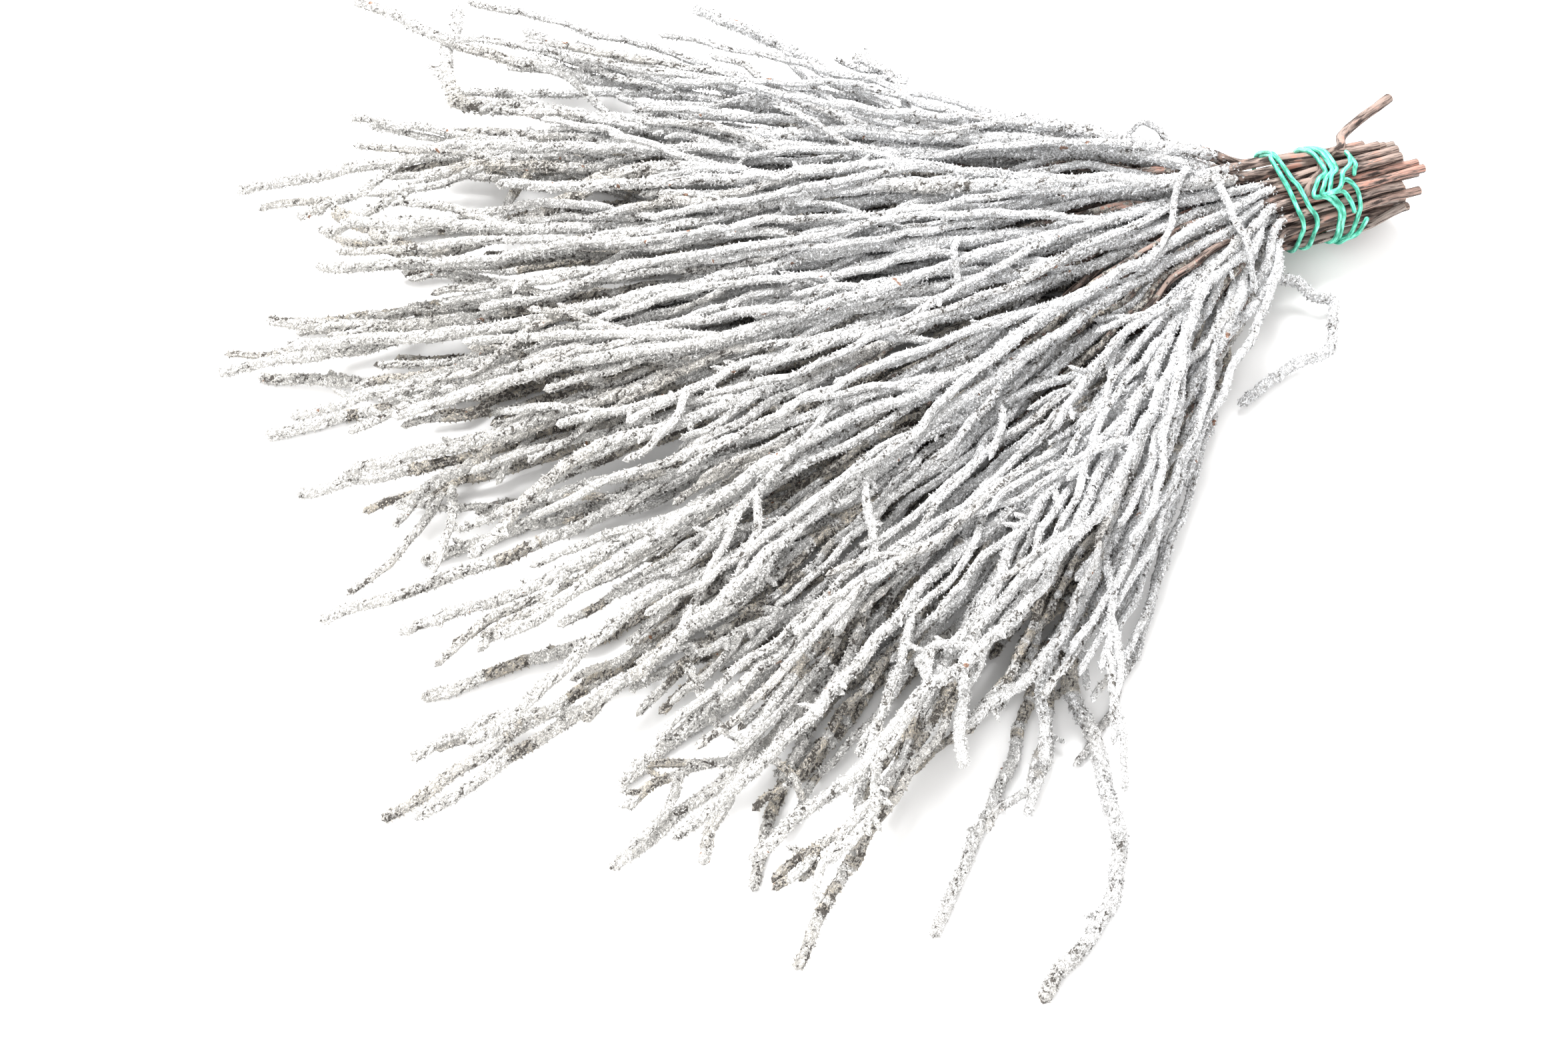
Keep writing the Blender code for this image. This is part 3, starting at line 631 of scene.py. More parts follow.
def twig_finish(name):
    """Bark under crust. The piece's attribute state holds (how much crust, how white, how far out of the pits), and
    lay holds (cosine, sine, distance along in mm) round the twig, in which the bark's streaks run."""
    made, start, shader = finish_of(name)
    state = start.attribute("state")
    crust, white, height = (state.part(axis) for axis in range(3))
    streak = start.streaks(0.0022, 0.0002, 1.4, 3, 0.4)
    patch = start.noise(9)
    speck = start.noise(0.9, 3, 0.6)
    bark = streak.step(0.38, 0.62).mixed(BARK_DARK, BARK_LIGHT)
    bark = (streak.step(0.52, 0.66) * patch.step(0.50, 0.62) * 0.8).mixed(bark, BARK_RED)
    bark = (streak.step(0.45, 0.6) * white.step(0.0, -0.4) * 0.5).mixed(bark, BARK_RED)
    bark = (streak.step(0.4, 0.6) * white.step(0.7, 1.2) * 0.8).mixed(bark, BARK_GREY)
    bark = (speck.step(0.60, 0.74) * 0.35).mixed(bark, BARK_SPECK)
    bark = crust.step(-0.4, -0.8).mixed(bark, CUT_WOOD)

    # Grey crinkle lines: painted shade between the crust's crumbs
    curl = start.noise(1.7, 2, 1.8)
    groove = abs(curl - 0.5).step(0.085, 0.02)
    crumb = start.noise(1.15, 2, 0.8)
    broad = start.noise(22)
    along_x = start.place().part(0)
    snow = (along_x + (broad - 0.5) * 0.1).step(-0.16, 0.06).mixed(SNOW_WARM, SNOW_COOL)
    # Cream and dull where the crust is less white: a real tone far from the tie and at random, painted shade deep under
    # the bunch
    snow = (white + (broad - 0.5) * 0.5).step(0.0, 0.65).mixed(CREAM, snow)
    snow = (groove * 0.62).mixed(snow, CREVICE_SHADE)
    # Pits, from the crust's height and fine noise, more of them on less white strands: grey and near-black painted
    # shade
    pitted = height + (crumb - 0.5) * 1.3 + (white - 0.65) * 0.3
    snow = (pitted.step(0.50, 0.30) * 0.7).mixed(snow, CREVICE_SHADE)
    snow = (pitted.step(0.31, 0.19) * 0.9).mixed(snow, PIT_SHADE)
    bud = start.noise(5, 1, 0.5).step(0.765, 0.78)
    snow = (bud * 0.8).mixed(snow, BUD)
    covered = (crust + (start.noise(2.6, 3) - 0.5) * 1.3).step(0.36, 0.52)
    covered.mixed(bark, snow).into(shader, "Base Color")
    (0.62 + covered * 0.33).into(shader, "Roughness")
    relief = covered * (crumb * 1.3 - groove * 0.8) + (1 - covered) * streak * 0.6
    relief.bumps(shader, 0.0011, 1.0)
    shader.inputs["Specular IOR Level"].default_value = 0.25
    return made


# THE TWIGS. Each is a brown stem, bare under the wire, with its crust from just past the tie to the tip. The crust
# follows the stem in lumps and pits, and stands off it in small flakes. Its shoots and fine twigs grow from it, with
# knobs where buds were.
STEM_SIDES = 11
SHOOT_SIDES = 9
FINE_SIDES = 7
RING_STEP = 1.4  # mm along a stem
FINE_RING_STEP = 1.7
WAVINESS = 0.7
FINE_WAVINESS = 0.8
WAVES = ((70, 0.9), (38, 0.55), (21, 0.3))  # the length and size of each
ZIGZAG = 0.35
ZIGZAG_LENGTH = (16, 26)
CALM = 4  # past the grip's straight part
CALM_SHARE = 0.35  # of the waves that a stem has there
GROWN_OVER = 25  # how far the waves take to come to their full size
WOOD_SHARE = 0.76  # of a crusted twig's radius, without its flakes
OUTER_SHARE = 0.98  # the same near the tips, where the crust is thickest
NEAR_TIE = 150
FAR_FROM_TIE = 350
LUMPS = (0.2, 0.35, 0.45)  # the shares of coarse lumps, finer ones and single crumbs in the crust's height
COARSE_EVERY = 4  # rings
MIDDLE_EVERY = 1.9
CRUST_DEPTH = 0.7  # share of the radius, from a pit to a crumb
BARK_DEPTH = 0.3
RING_SHIFT = 0.45
TIP_POINT = 0.25
CUT_FACE = 0.86  # share of the radius within its worn edge
CUT_EDGE = 0.3
CUT_BULGE = 0.05
HOOK_CRUST = 1.5  # how much thicker the crust is on the shoot that bends back
LONE_CRUST = 1.28  # and on the twigs that stand off the rest
LONE_DULL = 0.22  # how much less white the lone twigs are
ONSET = (9, 5)  # from the tie to the crust's start, and how much more at random
ONSET_UPPER = 4  # how much more on the twigs whose seats are to the upper side of the grip's middle
UPPER_SEATS = 3  # by more than this
ONSET_LENGTH = (15, 28)  # of the crust's first, thin part, on the other twigs and on these
BARK_TINTS = (-0.6, 1.3)
FLAKES = 5.5  # per mm of a stem
FLAKE_WIDTH = (0.9, 1.9)
FLAKE_HEIGHT = (0.6, 1.5)
KNOBS = 9
KNOB_RADII = (1.3, 1.15, 0.8)
KNOB_TURN = (28, 70)
KNOB_SLOPE = (-0.3, 0.7)
KNOB_REACH = (3.5, 7.5)


def distances(points):
    """How far along its course each point lies."""
    return np.concatenate([[0], np.cumsum(np.linalg.norm(np.diff(points, axis=0), axis=1))])


def smoothed(points, times):
    """The points, each moved to (before + 2 here + after) / 4 that many times, with both ends kept."""
    points = points.copy()
    for _ in range(times):
        points[1:-1] = (points[:-2] + 2 * points[1:-1] + points[2:]) / 4
    return points


def frame_along(centres, up):
    """Three unit vectors at each centre: ahead, to the side of ahead and up, and at right angles to both."""
    ahead = np.gradient(centres, axis=0)
    ahead /= np.linalg.norm(ahead, axis=1)[:, None]
    side = np.cross(ahead, up)
    side /= np.linalg.norm(side, axis=1)[:, None]
    return ahead, side, np.cross(side, ahead)


def outwards(side, rise, sides):
    """The angles of a strand's sides, and at each centre and angle the vector cos(angle) side + sin(angle) rise."""
    angle = 2 * math.pi * np.arange(sides) / sides
    return angle, np.cos(angle)[None, :, None] * side[:, None] + np.sin(angle)[None, :, None] * rise[:, None]


def rounding(left, radius, least):
    """The share of its radius that a strand has where that much of it is left: a half circle over the radius."""
    return np.sqrt(np.clip(1 - (1 - np.clip(left / radius, 0, 1)) ** 2, least, 1))


def strand_path(rng, points, radii, step, stray, straight=False):
    """Centres, radii and distances along a strand. Between two points P and Q with slopes M and N it is the cubic
    (2t^3-3t^2+1) P + (t^3-2t^2+t) M + (3t^2-2t^3) Q + (t^3-t^2) N, plus waves to the side and up and a zigzag as at
    buds, all of which start from nothing. A straight one holds the slope of its grip."""
    at = distances(points)
    slopes = np.gradient(points, at, axis=0)
    calm = 0.0
    if straight:
        slopes[1:3] = (points[2] - points[1]) / (at[2] - at[1])
        calm = at[2] + CALM
    count = max(5, round(at[-1] / step))
    along = np.linspace(0, at[-1], count + 1)
    i = np.clip(np.searchsorted(at, along, "right") - 1, 0, len(points) - 2)
    span = (at[i + 1] - at[i])[:, None]
    t = (along[:, None] - at[i][:, None]) / span
    centres = (2 * t**3 - 3 * t**2 + 1) * points[i] + (3 * t**2 - 2 * t**3) * points[i + 1]
    centres += span * ((t**3 - 2 * t**2 + t) * slopes[i] + (t**3 - t**2) * slopes[i + 1])
    grown = np.clip((along - calm) / GROWN_OVER, CALM_SHARE if straight else 0, 1) * stray
    sideways = np.zeros(len(along))
    upwards = np.zeros(len(along))
    for length, size in WAVES:
        length *= rng.uniform(0.8, 1.3)
        sideways += size * np.sin(2 * math.pi * (along / length + rng.uniform()))
        upwards += 0.5 * size * np.sin(2 * math.pi * (along / length + rng.uniform()))
    sideways += ZIGZAG * np.arcsin(np.sin(2 * math.pi * (along / rng.uniform(*ZIGZAG_LENGTH) + rng.uniform())))
    ahead = np.gradient(centres, axis=0)
    side = np.cross(ahead, (0, 0, 1))
    side /= np.linalg.norm(side, axis=1)[:, None]
    centres = centres + (grown * sideways)[:, None] * side + (grown * upwards)[:, None] * (0, 0, 1)
    return centres, np.interp(along, at, radii), along


def lumps(rng, rings, sides, every, across):
    """Random values from 0 to 1 on a grid of rings and sides, drawn at every few rings and at a few places round, and
    blended evenly in between."""
    rows = math.ceil(rings / every) + 2
    drawn = rng.uniform(0, 1, (rows, across))
    u = np.arange(rings) / every
    v = np.arange(sides) * across / sides
    i, j = u.astype(int), v.astype(int)
    u, v = (u - i)[:, None], (v - j)[None]
    after = (j + 1) % across
    first = drawn[i][:, j] * (1 - v) + drawn[i][:, after] * v
    second = drawn[i + 1][:, j] * (1 - v) + drawn[i + 1][:, after] * v
    return first * (1 - u) + second * u


def tube_faces(rings, sides):
    """Triangles over a grid of rings and sides, closed round and by one pole before and one after the grid."""
    i, j = np.meshgrid(np.arange(rings - 1), np.arange(sides), indexing="ij")
    a, b = i * sides + j, i * sides + (j + 1) % sides
    c, d = a + sides, b + sides
    walls = np.stack([a, c, d, a, d, b], axis=-1).reshape(-1, 3)
    j = np.arange(sides)
    after = (j + 1) % sides
    first, last = rings * sides, rings * sides + 1
    base = (rings - 1) * sides
    start = np.stack([np.full(sides, first), j, after], axis=-1)
    end = np.stack([np.full(sides, last), base + after, base + j], axis=-1)
    return np.concatenate([walls, start, end])


def put(name, data):
    """A new object in the scene."""
    made = bpy.data.objects.new(name, data)
    bpy.context.scene.collection.objects.link(made)
    return made


class Body:
    """The surfaces of one piece while it is made, as arrays of points, triangles and the two attributes."""

    def __init__(self):
        self.points, self.faces, self.lay, self.state = [], [], [], []
        self.count = 0

    def add(self, points, faces, lay, state):
        self.points.append(points)
        self.faces.append(faces + self.count)
        self.lay.append(lay)
        self.state.append(state)
        self.count += len(points)

    def add_tube(self, points, poles, angle, along, state):
        """A closed tube over a grid of points, one row to a ring, with the attribute lay from its angles and rings."""
        lay = np.stack(np.broadcast_arrays(np.cos(angle)[None], np.sin(angle)[None], along[:, None]), axis=-1)
        lay, state = (np.concatenate([values.reshape(-1, 3), values[[0, -1], 0]]) for values in (lay, state))
        self.add(np.concatenate([points.reshape(-1, 3), poles]), tube_faces(*points.shape[:2]), lay, state)

    def piece(self, name, finish, smooth):
        """A mesh object of all that was added, moved to the row frame and into metres."""
        points = np.concatenate(self.points)
        points[:, 2] = np.maximum(points[:, 2], 0)  # pressed flat where it rests on the table
        points = (points + SHIFT) * 0.001
        faces = np.concatenate(self.faces)
        mesh = bpy.data.meshes.new(name)
        mesh.vertices.add(len(points))
        mesh.vertices.foreach_set("co", points.astype(np.float32).ravel())
        mesh.loops.add(faces.size)
        mesh.loops.foreach_set("vertex_index", faces.astype(np.int32).ravel())
        mesh.polygons.add(len(faces))
        mesh.polygons.foreach_set("loop_start", np.arange(0, faces.size, 3, dtype=np.int32))
        mesh.update(calc_edges=True)
        for key, values in (("lay", self.lay), ("state", self.state)):
            made = mesh.attributes.new(key, "FLOAT_VECTOR", "POINT")
            made.data.foreach_set("vector", np.concatenate(values).astype(np.float32).ravel())
        mesh.polygons.foreach_set("use_smooth", np.full(len(faces), smooth))
        mesh.materials.append(finish)
        return put(name, mesh)


def far_out(centres):
    """0 near the tie, 1 far from it, and in proportion between."""
    return np.clip((np.linalg.norm(centres[:, :2], axis=1) - NEAR_TIE) / (FAR_FROM_TIE - NEAR_TIE), 0, 1)


def grow(body, rng, centres, radii, along, sides, crust, white, flakes, rough=1.0, cut=False):
    """A strand's surface and flakes. The surface is a circle carried along the centres, at right angles to them, with
    its radius made smaller and larger, where it is crusted, by coarse lumps, finer ones and single crumbs."""
    rings = len(centres)
    ahead, side, rise = frame_along(centres, (0, 0, 1))
    angle, outward = outwards(side, rise, sides)
    coarse = lumps(rng, rings, sides, COARSE_EVERY, 4)
    middle = lumps(rng, rings, sides, MIDDLE_EVERY, max(4, sides // 2))
    crumbs = rng.uniform(0, 1, (rings, sides))
    height = LUMPS[0] * coarse + LUMPS[1] * middle + LUMPS[2] * crumbs
    heavy = np.clip(crust, 0, 1)[:, None]
    rounded = rounding(along[-1] - along, 1.3 * radii, 0.03)
    share = WOOD_SHARE + (OUTER_SHARE - WOOD_SHARE) * far_out(centres)
    radii = radii * (1 - (1 - share) * heavy[:, 0])
    relief = heavy * rough * (height - 0.5) * CRUST_DEPTH + (1 - heavy) * (coarse - 0.5) * BARK_DEPTH
    reach = radii[:, None] * (1 + relief)
    reach = reach * rounded[:, None]
    shift = rng.uniform(-RING_SHIFT, RING_SHIFT, (rings, sides)) * heavy * np.gradient(along)[:, None]
    shift[[0, -1]] = 0
    points = centres[:, None] + outward * reach[..., None] + ahead[:, None] * shift[..., None]
    poles = np.stack([centres[0], centres[-1] + ahead[-1] * TIP_POINT])
    state = np.stack(np.broadcast_arrays(crust[:, None], white[:, None], height), axis=-1).copy()
    if cut:
        points[0] = centres[0] + outward[0] * (CUT_FACE * reach[0])[:, None]
        points[1] = centres[0] + ahead[0] * CUT_EDGE + outward[0] * reach[1][:, None]
        poles[0] -= ahead[0] * CUT_BULGE
        state[0, :, 0] = -1
    body.add_tube(points, poles, angle, along, state)
    count = int(flakes * along[-1])
    if count:
        flake(body, rng, centres, side, rise, ahead, radii * rounded, along, crust, white, count)


def flake(body, rng, centres, side, rise, ahead, radii, along, crust, white, count):
    """Small thin flakes on a strand, each a closed shape of four corners: two in the surface, one off to the side of
    them, and one that stands up and leans."""
    i = rng.integers(1, len(centres) - 1, count)
    i = i[rng.uniform(0, 1, len(i)) < np.clip(crust[i] * 1.3 - 0.15, 0, 1)]
    count = len(i)
    angle = rng.uniform(0, 2 * math.pi, count)[:, None]
    out = np.cos(angle) * side[i] + np.sin(angle) * rise[i]
    round_it = np.cos(angle) * rise[i] - np.sin(angle) * side[i]
    turn = rng.uniform(0, 2 * math.pi, count)[:, None]
    one = np.cos(turn) * ahead[i] + np.sin(turn) * round_it
    other = np.cos(turn) * round_it - np.sin(turn) * ahead[i]
    small = (radii[i] / CRUST_RADIUS)[:, None] ** 0.5
    wide = rng.uniform(*FLAKE_WIDTH, (count, 1)) * small
    tall = rng.uniform(*FLAKE_HEIGHT, (count, 1)) * small * rng.uniform(0.5, 1, (count, 1))
    foot = centres[i] + out * radii[i][:, None] * rng.uniform(0.9, 1.08, (count, 1))
    beside = foot + other * wide * rng.uniform(0.25, 0.6, (count, 1)) + out * 0.1
    tip = foot + out * tall + one * wide * rng.uniform(-0.5, 0.5, (count, 1))
    tip -= other * wide * rng.uniform(0, 0.4, (count, 1))
    inside = out * 0.2
    corners = np.stack([foot - one * wide / 2 - inside, foot + one * wide / 2 - inside, beside, tip], axis=1)
    edges = corners[:, 1:] - corners[:, :1]
    inside_out = np.linalg.det(edges) > 0
    corners[inside_out] = corners[inside_out][:, [1, 0, 2, 3]]
    base = 4 * np.arange(count)[:, None, None]
    faces = (base + np.array([[0, 1, 2], [0, 2, 3], [0, 3, 1], [1, 3, 2]])).reshape(-1, 3)
    lay = np.repeat(np.concatenate([np.cos(angle), np.sin(angle), along[i][:, None]], axis=1), 4, axis=0)
    # The corners in the surface get low heights, so the crust's painted pit shade darkens each flake's foot
    heights = np.tile([0.35, 0.45, 0.5, 1.0], count)
    state = np.stack([np.ones(4 * count), np.repeat(white[i], 4), heights], axis=-1)
    body.add(corners.reshape(-1, 3), faces, lay, state)


# THE ROOF: the highest main twig over each cell of the table. The deeper a strand lies under it, the less white and the
# more pitted its crust is, in part as painted shade of the twigs above.
ROOF_CELL = 5  # mm
ROOF_CORNER = np.array([-450, -300])
ROOF_CELLS = (110, 130)
ROOF_DEPTH = (8, 18)  # from the roof to where the crust gets less white, in part as painted shade, and from there to where it is least so
roof = np.zeros(ROOF_CELLS)
cells = ((main_points[:, :2] - ROOF_CORNER) / ROOF_CELL).astype(int)
np.maximum.at(roof, tuple(cells.T), main_points[:, 2])


def whiteness(rng, centres, base):
    """How white a strand's crust is, with slow changes along it: less the deeper it lies under the bunch's highest
    twigs, partly because the flock was blown on from above and partly as painted shade from the twigs over it."""
    i, j = ((centres[:, :2] - ROOF_CORNER) / ROOF_CELL).astype(int).T
    shaded_depth = np.clip((roof[i, j] - centres[:, 2] - ROOF_DEPTH[0]) / ROOF_DEPTH[1], 0, 1)
    wave = 0.12 * np.sin(2 * math.pi * (np.arange(len(centres)) / 80 + rng.uniform()))
    return np.clip(0.85 - 0.85 * shaded_depth - 0.25 * far_out(centres) + base + wave, 0, 1)


def rooted(points, centres):
    """The points, with the first moved to the nearest centre of the strand that they grow from."""
    return np.vstack([centres[np.argmin(np.linalg.norm(centres - points[0], axis=1))], points[1:]])


twig_coat = twig_finish("snow_crust")
for number, twig in enumerate(bunch[:-1]):
    rng = np.random.default_rng(number)
    body = Body()
    lone = number >= len(TWIGS)
    paths = []
    for strand, (points, radii, _) in enumerate(twig):
        is_stem = strand == 0
        if number == len(TWIGS) - 1 and strand == len(twig) - 1:
            radii = radii * HOOK_CRUST
        elif lone:
            radii = np.concatenate([radii[:3], radii[3:] * LONE_CRUST]) if is_stem else radii * LONE_CRUST
        if not is_stem:
            points = rooted(points, paths[0])
        centres, thick, along = strand_path(rng, points, radii, RING_STEP, WAVINESS, is_stem)
        paths.append(centres)
        crust = np.ones(len(along))
        if is_stem:
            upper = int(points[2, 1] > GRIP_SIDE + UPPER_SEATS)
            onset = -ONSET[0] - ONSET[1] * rng.uniform() - ONSET_UPPER * upper
            crust = np.clip((onset - centres[:, 0]) / ONSET_LENGTH[upper], 0, 1)
            rng.uniform()  # a draw that nothing uses, kept so that the ones after it stay the same
        white = whiteness(rng, centres, rng.uniform(-0.15, 0.2) - LONE_DULL * lone)
        if is_stem:
            white = np.where(crust > 0, white, rng.uniform(*BARK_TINTS))
        sides = STEM_SIDES if is_stem else SHOOT_SIDES
        grow(body, rng, centres, thick, along, sides, crust, white, FLAKES, cut=is_stem)
    for (owner, _, thick), course, parent in zip(fine[:grown], laid, parents):
        if owner != number:
            continue
        course = rooted(course, paths[parent])
        centres, thick, along = strand_path(rng, course, thick, FINE_RING_STEP, FINE_WAVINESS)
        white = whiteness(rng, centres, rng.uniform(-0.25, 0.15))
        grow(body, rng, centres, thick, along, FINE_SIDES, np.full(len(along), 0.95), white, FLAKES * 0.6)
    for _ in range(KNOBS):
        path = paths[int(rng.integers(0, len(paths)))]
        start, heading = place_on(path, rng.uniform(0.25, 0.97))
        if start[0] > -CRUST_START - 6:
            continue
        bend = rng.choice((-1, 1)) * rng.uniform(*KNOB_TURN)
        slope = rng.uniform(*KNOB_SLOPE)
        reach = rng.uniform(*KNOB_REACH)
        course = start + np.outer(np.linspace(0, reach, 3), direction(heading + bend) + (0, 0, slope))
        centres, thick, along = strand_path(rng, course, np.array(KNOB_RADII), 1.3, 0.3)
        grow(body, rng, centres, thick, along, 6, np.full(len(along), 0.9), whiteness(rng, centres, 0), 2.5)
    made = body.piece(f"snowed_twig_{number + 1:02d}", twig_coat, False)
    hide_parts(f"twig_{number + 1:02d}")
    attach(made, "root")

# INNER TWIGS. Thin twigs, mostly bare bark, that little snow reached. Their dark bark and dull crust are also painted
# shade: they fill the bunch near the table, so its gaps look dark, and are tied in with the others. No solid stands
# for them, so they make up a few pieces of their own.
INNER_PIECES = 3
INNER_RING_STEP = 2.2
# how white their crust is: kept low, as painted shade
INNER_SHADE_WHITE = 0.1
rng = np.random.default_rng(5)
bodies = [Body() for _ in range(INNER_PIECES)]
for number, course in enumerate(laid[grown:]):
    thick = fine[grown + number][2]
    centres, thick, along = strand_path(rng, course, thick, INNER_RING_STEP, 1.0)
    crust = np.clip(rng.uniform(0.1, 0.5) + 0.5 * along / along[-1], 0, 0.9)
    white = np.full(len(along), INNER_SHADE_WHITE)
    grow(bodies[number % INNER_PIECES], rng, centres, thick, along, FINE_SIDES, crust, white, 0.5, 0.6)
for number, body in enumerate(bodies, 1):
    made = body.piece(f"inner_twigs_{number}", twig_coat, True)
    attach(made, "root")

# THE TIE. Two lengths of garden binding wire in a mint green plastic coat, wound tight round the bare stems: a pair of
# turns at the left, and a bunch of turns at the right that a twist of the ends pulls into a pinch on the upper side.
WIRE_STEP = 3  # degrees
WIRE_LOOK_RADIUS = 0.85
WIRE_RING_STEP = 0.5
WIRE_SIDES = 12
WIRE_SMOOTHING = 16
TANGENT_STEP = 6  # degrees between the two lines that meet at a point
LAYER = 1.4  # from a wire on the stems to one that crosses it
MINT = (0.10, 0.60, 0.42)
MINT_DARK = (0.015, 0.22, 0.14)
MINT_PALE = (0.38, 0.82, 0.66)

# Each length of wire as it goes: angle round the grip in degrees, x, and how many layers up it lies
PAIR = ((20, -8.5, -1), (60, -9.4, 0), (80, -10.5, 0), (98, -11, 0), (132, -10.6, 0), (158, -9.8, 0), (172, -10.3, 0),
        (198, -11.5, 0), (240, -11.5, 0), (300, -10.5, 0), (420, -8.6, 0.5), (444, -9.6, 0.6), (460, -8.8, 0.3),
        (478, -6.8, 0), (494, -5.8, 0), (508, -4.7, 0), (522, -4.1, 0), (534, -4.8, 0), (546, -5.8, 0), (590, -7, 0),
        (640, -8, 0), (680, -9, -1))
TURNS = ((20, 4.4, -1), (58, 4.2, 0), (80, 3.4, 0), (92, 4.4, 0), (104, 5.2, 0), (113, 3.2, 0), (118, 0, 0.1),
         (122, -4.4, 0.2), (125, -3.4, 0.1), (128, 1, 0), (137, 4, 0), (152, 4.8, 0), (168, 4.6, 0), (182, 4, 0),
         (196, 3, 0), (240, 2.5, 0), (300, 3.6, 0), (418, 6, 0), (438, 6.2, 0), (452, 7.6, 0), (467, 7.6, 0),
         (474, 5.4, 0.1), (479, 2.2, 0.4), (483, -1.8, 0.6), (486, 0, 0.5), (489, 3, 0.2), (499, 5.6, 0),
         (515, 6.3, 0), (530, 6, 0), (542, 5.2, 0), (556, 4.4, 0), (600, 4, 0), (660, 5.6, 0), (778, 8, 0),
         (798, 8.6, 0), (812, 9.4, 0), (827, 9.1, 0), (834, 7, 0.2), (840, 4, 0.5), (844, 0.6, 1), (845, 3, 1.3),
         (842, 6.5, 1), (839, 8.8, 0.6), (839, 11, 0.4), (844, 12.6, 0.2), (858, 13.2, 0), (872, 13, 0), (889, 12, 0),
         (898, 9, 0), (906, 6.4, 0.3), (916, 5.7, 0), (950, 5.5, 0), (1010, 7, 0), (1050, 8, -1))
LONG_END = ((127, 0.5, 1), (125, 4, 1.2), (120, 8, 1.2), (112, 11.6, 1), (103, 13.2, 1), (97, 14.8, 1.5))
SHORT_END = ((126, 1.5, 1), (125, 4.5, 1), (129, 7, 0.6), (137, 8.6, 0.3), (146, 9.6, 0.6), (152, 9.3, 1.3))
TUCKED_END = ((92, 16.9, -1.2), (99, 16.7, 0), (108, 16.1, 0.2), (114, 15.4, 0), (119, 14.6, -1.2))
CORNER_END = ((168, 14.4, 1.3), (176, 11, 0.5), (183, 7.6, 0.2), (192, 5.4, 1), (230, 5, 0.6), (300, 5, -1))
WIRES = {"tie_left": (PAIR,), "tie_right": (TURNS, LONG_END, SHORT_END, TUCKED_END, CORNER_END)}
bare = np.array([twig[0][0][1:3] for twig in bunch[:-1]])


def support(angle, x):
    """How far a line across each angle lies from the grip's middle at x, where it just touches the stems."""
    share = ((bare[:, 0, 0] - x[:, None]) / (bare[:, 0, 0] - bare[:, 1, 0]))[..., None]
    middles = bare[:, 0, 1:] + share * (bare[:, 1] - bare[:, 0])[:, 1:] - grip_middle(x).T[:, None]
    facing = np.stack([np.cos(angle), np.sin(angle)], axis=-1)
    return (middles @ facing[..., None])[..., 0].max(1) + STEM_RADIUS


def round_the_grip(route, radius):
    """The points of a route round the grip, lying on the stems: each is where two lines that touch the stems meet,
    a step of the angle apart, so it never cuts into a stem."""
    legs = np.array(route, float)
    counts = [max(2, int(abs(a[0] - b[0]) / WIRE_STEP + abs(a[1] - b[1]) * 1.5)) for a, b in zip(legs, legs[1:])]
    shares = np.concatenate([i + np.arange(n) / n for i, n in enumerate(counts)] + [[len(counts)]])
    eased = np.array([np.interp(shares, np.arange(len(legs)), legs[:, k]) for k in range(3)])
    angle, x, layer = smoothed(eased.T, 2).T
    step = math.radians(TANGENT_STEP)
    around = np.radians(angle) - step / 2
    out = radius + layer * LAYER
    here, there = support(around, x) + out, support(around + step, x) + out
    slide = (there - here * math.cos(step)) / math.sin(step)
    across = here * np.cos(around) - slide * np.sin(around)
    up = here * np.sin(around) + slide * np.cos(around)
    middle = grip_middle(x)
    return np.stack([x, middle[0] + across, middle[1] + up], axis=-1)


def wire_finish(name):
    """Mint green plastic, with darker and paler streaks along it and pale specks."""
    made, start, shader = finish_of(name)
    streak = start.streaks(0.001, 0.0003, 1.1, 2, 0.2)
    speck = start.noise(0.8)
    colour = streak.step(0.35, 0.6).mixed(MINT_DARK, MINT)
    colour = (streak.step(0.55, 0.72) * 0.8).mixed(colour, MINT_PALE)
    colour = (speck.step(0.62, 0.75) * 0.4).mixed(colour, MINT_PALE)
    colour.into(shader, "Base Color")
    (0.32 + speck * 0.25).into(shader, "Roughness")
    (speck + streak).bumps(shader, 0.0003, 0.35)
    shader.inputs["Coat Weight"].default_value = 0.3
    shader.inputs["Coat Roughness"].default_value = 0.25
    return made


wire_coat = wire_finish("wire_coat")
for name, routes in WIRES.items():
    body = Body()
    for route in routes:
        path = round_the_grip(route, WIRE_LOOK_RADIUS)
        at = distances(path)
        along = np.linspace(0, at[-1], int(at[-1] / WIRE_RING_STEP))
        centres = np.stack([np.interp(along, at, path[:, k]) for k in range(3)], axis=1)
        centres = smoothed(centres, WIRE_SMOOTHING)
        from_middle = centres - np.stack([centres[:, 0], *grip_middle(centres[:, 0])], axis=-1)
        _, side, rise = frame_along(centres, from_middle)
        angle, outward = outwards(side, rise, WIRE_SIDES)
        rounded = rounding(np.minimum(along, along[-1] - along), WIRE_LOOK_RADIUS, 0.05)
        uneven = 1 + 0.05 * np.sin(along / 1.7 + 2 * np.sin(along / 7))
        points = centres[:, None] + outward * (WIRE_LOOK_RADIUS * rounded * uneven)[:, None, None]
        body.add_tube(points, centres[[0, -1]], angle, along, np.zeros(points.shape))
    made = body.piece(f"{name}_wire", wire_coat, True)
    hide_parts(name)
    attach(made, "root")

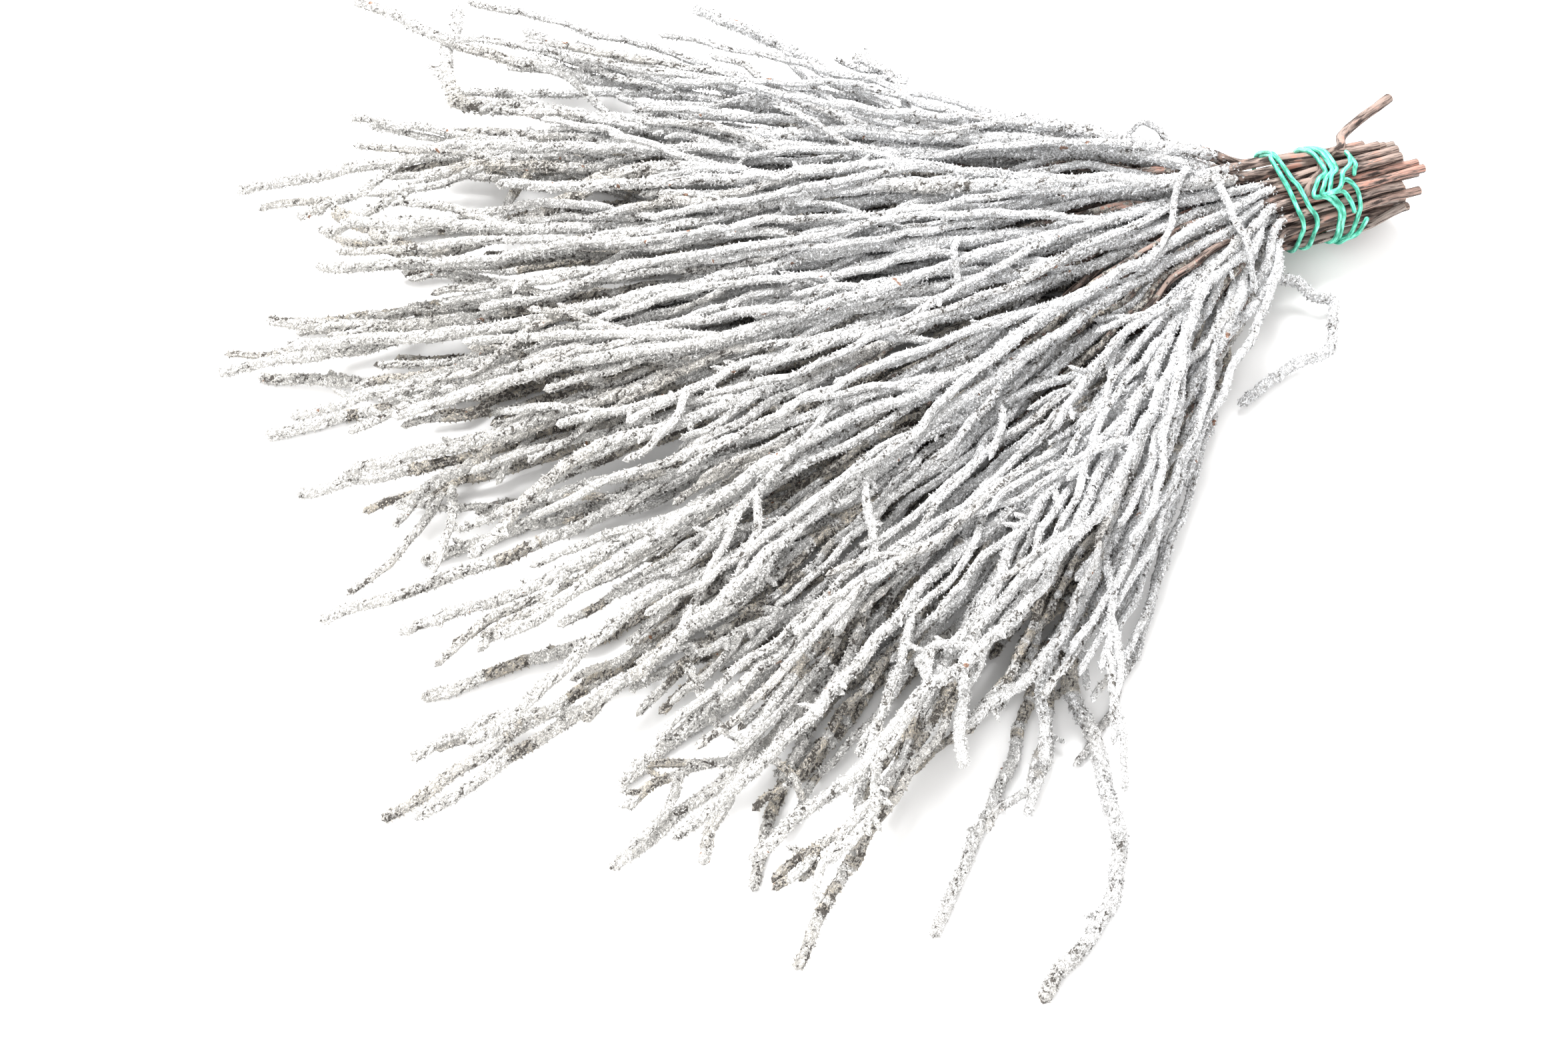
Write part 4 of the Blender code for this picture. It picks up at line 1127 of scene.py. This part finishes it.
# BARE STUB. One twig with no crust stands out of the cut ends. It comes from under the wire and runs slantwise over the
# other stems, half sunk between them.
STUB_ROUTE = ((60, 14.5, -0.7), (78, 13, -0.9), (92, 9.8, -0.9), (103, 5, -0.9), (110, 0.8, -1), (120, -4.2, -1.3),
              (124, -6.5, -1.8))
STUB_RADIUS = 2.0
STUB_SMOOTHING = 30
rng = np.random.default_rng(3)
body = Body()
points = np.vstack([bunch[-1][0][0], round_the_grip(STUB_ROUTE, 0)[::4]])
radii = np.linspace(0.9 * STUB_RADIUS, STUB_RADIUS, len(points))
centres, thick, along = strand_path(rng, points, radii, 0.9, 0.2)
centres = smoothed(centres, STUB_SMOOTHING)
none = np.zeros(len(along))
grow(body, rng, centres, thick, along, 12, none, none, 0, cut=True)
made = body.piece("bare_stub", twig_coat, True)
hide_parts("bare_twig")
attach(made, "root")

# TABLE, LIGHT AND CAMERA. A plain white table, a large soft light from above and behind, a weaker one from beside the
# camera, and a camera that looks down at the bunch at 55 degrees from its long side.
TABLE_HALF = 4  # m
made, start, shader = finish_of("table")
start.noise(60).mixed((0.86, 0.86, 0.86), (0.89, 0.89, 0.89)).into(shader, "Base Color")
shader.inputs["Roughness"].default_value = 0.9
mesh = bpy.data.meshes.new("table")
corners = [(x * TABLE_HALF, y * TABLE_HALF, 0) for x, y in ((-1, -1), (1, -1), (1, 1), (-1, 1))]
mesh.from_pydata(corners, [], [(0, 1, 2, 3)])
mesh.materials.append(made)
put("table", mesh)

LOOKED_AT = (np.array([-229.9, -34.6, 20]) + SHIFT) * 0.001
SENSOR = 36  # mm
PHOTO_WIDE = 2352  # pixels
FOCAL = 4510  # pixels
# Each: azimuth and elevation in degrees, distance in m, size in m, power in W
LIGHTS = {"key_light": (165, 58, 1.5, 0.8, 48), "fill_light": (-50, 45, 1.8, 1.4, 19)}


def aim(made, azimuth, elevation, distance):
    """Puts an object that far from the point that is looked at, facing it."""
    turn, tilt = math.radians(azimuth), math.radians(elevation)
    towards = np.array([math.sin(turn) * math.cos(tilt), -math.cos(turn) * math.cos(tilt), math.sin(tilt)])
    made.location = LOOKED_AT + towards * distance
    made.rotation_euler = (math.pi / 2 - tilt, 0, turn)


camera = put("camera", bpy.data.cameras.new("camera"))
camera.data.lens = SENSOR * FOCAL / PHOTO_WIDE
camera.data.sensor_width = SENSOR
aim(camera, -27, 55, 1)
bpy.context.scene.camera = camera
for name, (azimuth, elevation, distance, size, power) in LIGHTS.items():
    lamp = bpy.data.lights.new(name, "AREA")
    lamp.size = size
    lamp.energy = power
    aim(put(name, lamp), azimuth, elevation, distance)
world = bpy.data.worlds.new("room")
world.use_nodes = True
world.node_tree.nodes["Background"].inputs["Color"].default_value = (1.0, 0.99, 0.98, 1)
world.node_tree.nodes["Background"].inputs["Strength"].default_value = 1.28
bpy.context.scene.world = world
bpy.context.scene.view_settings.view_transform = "Standard"
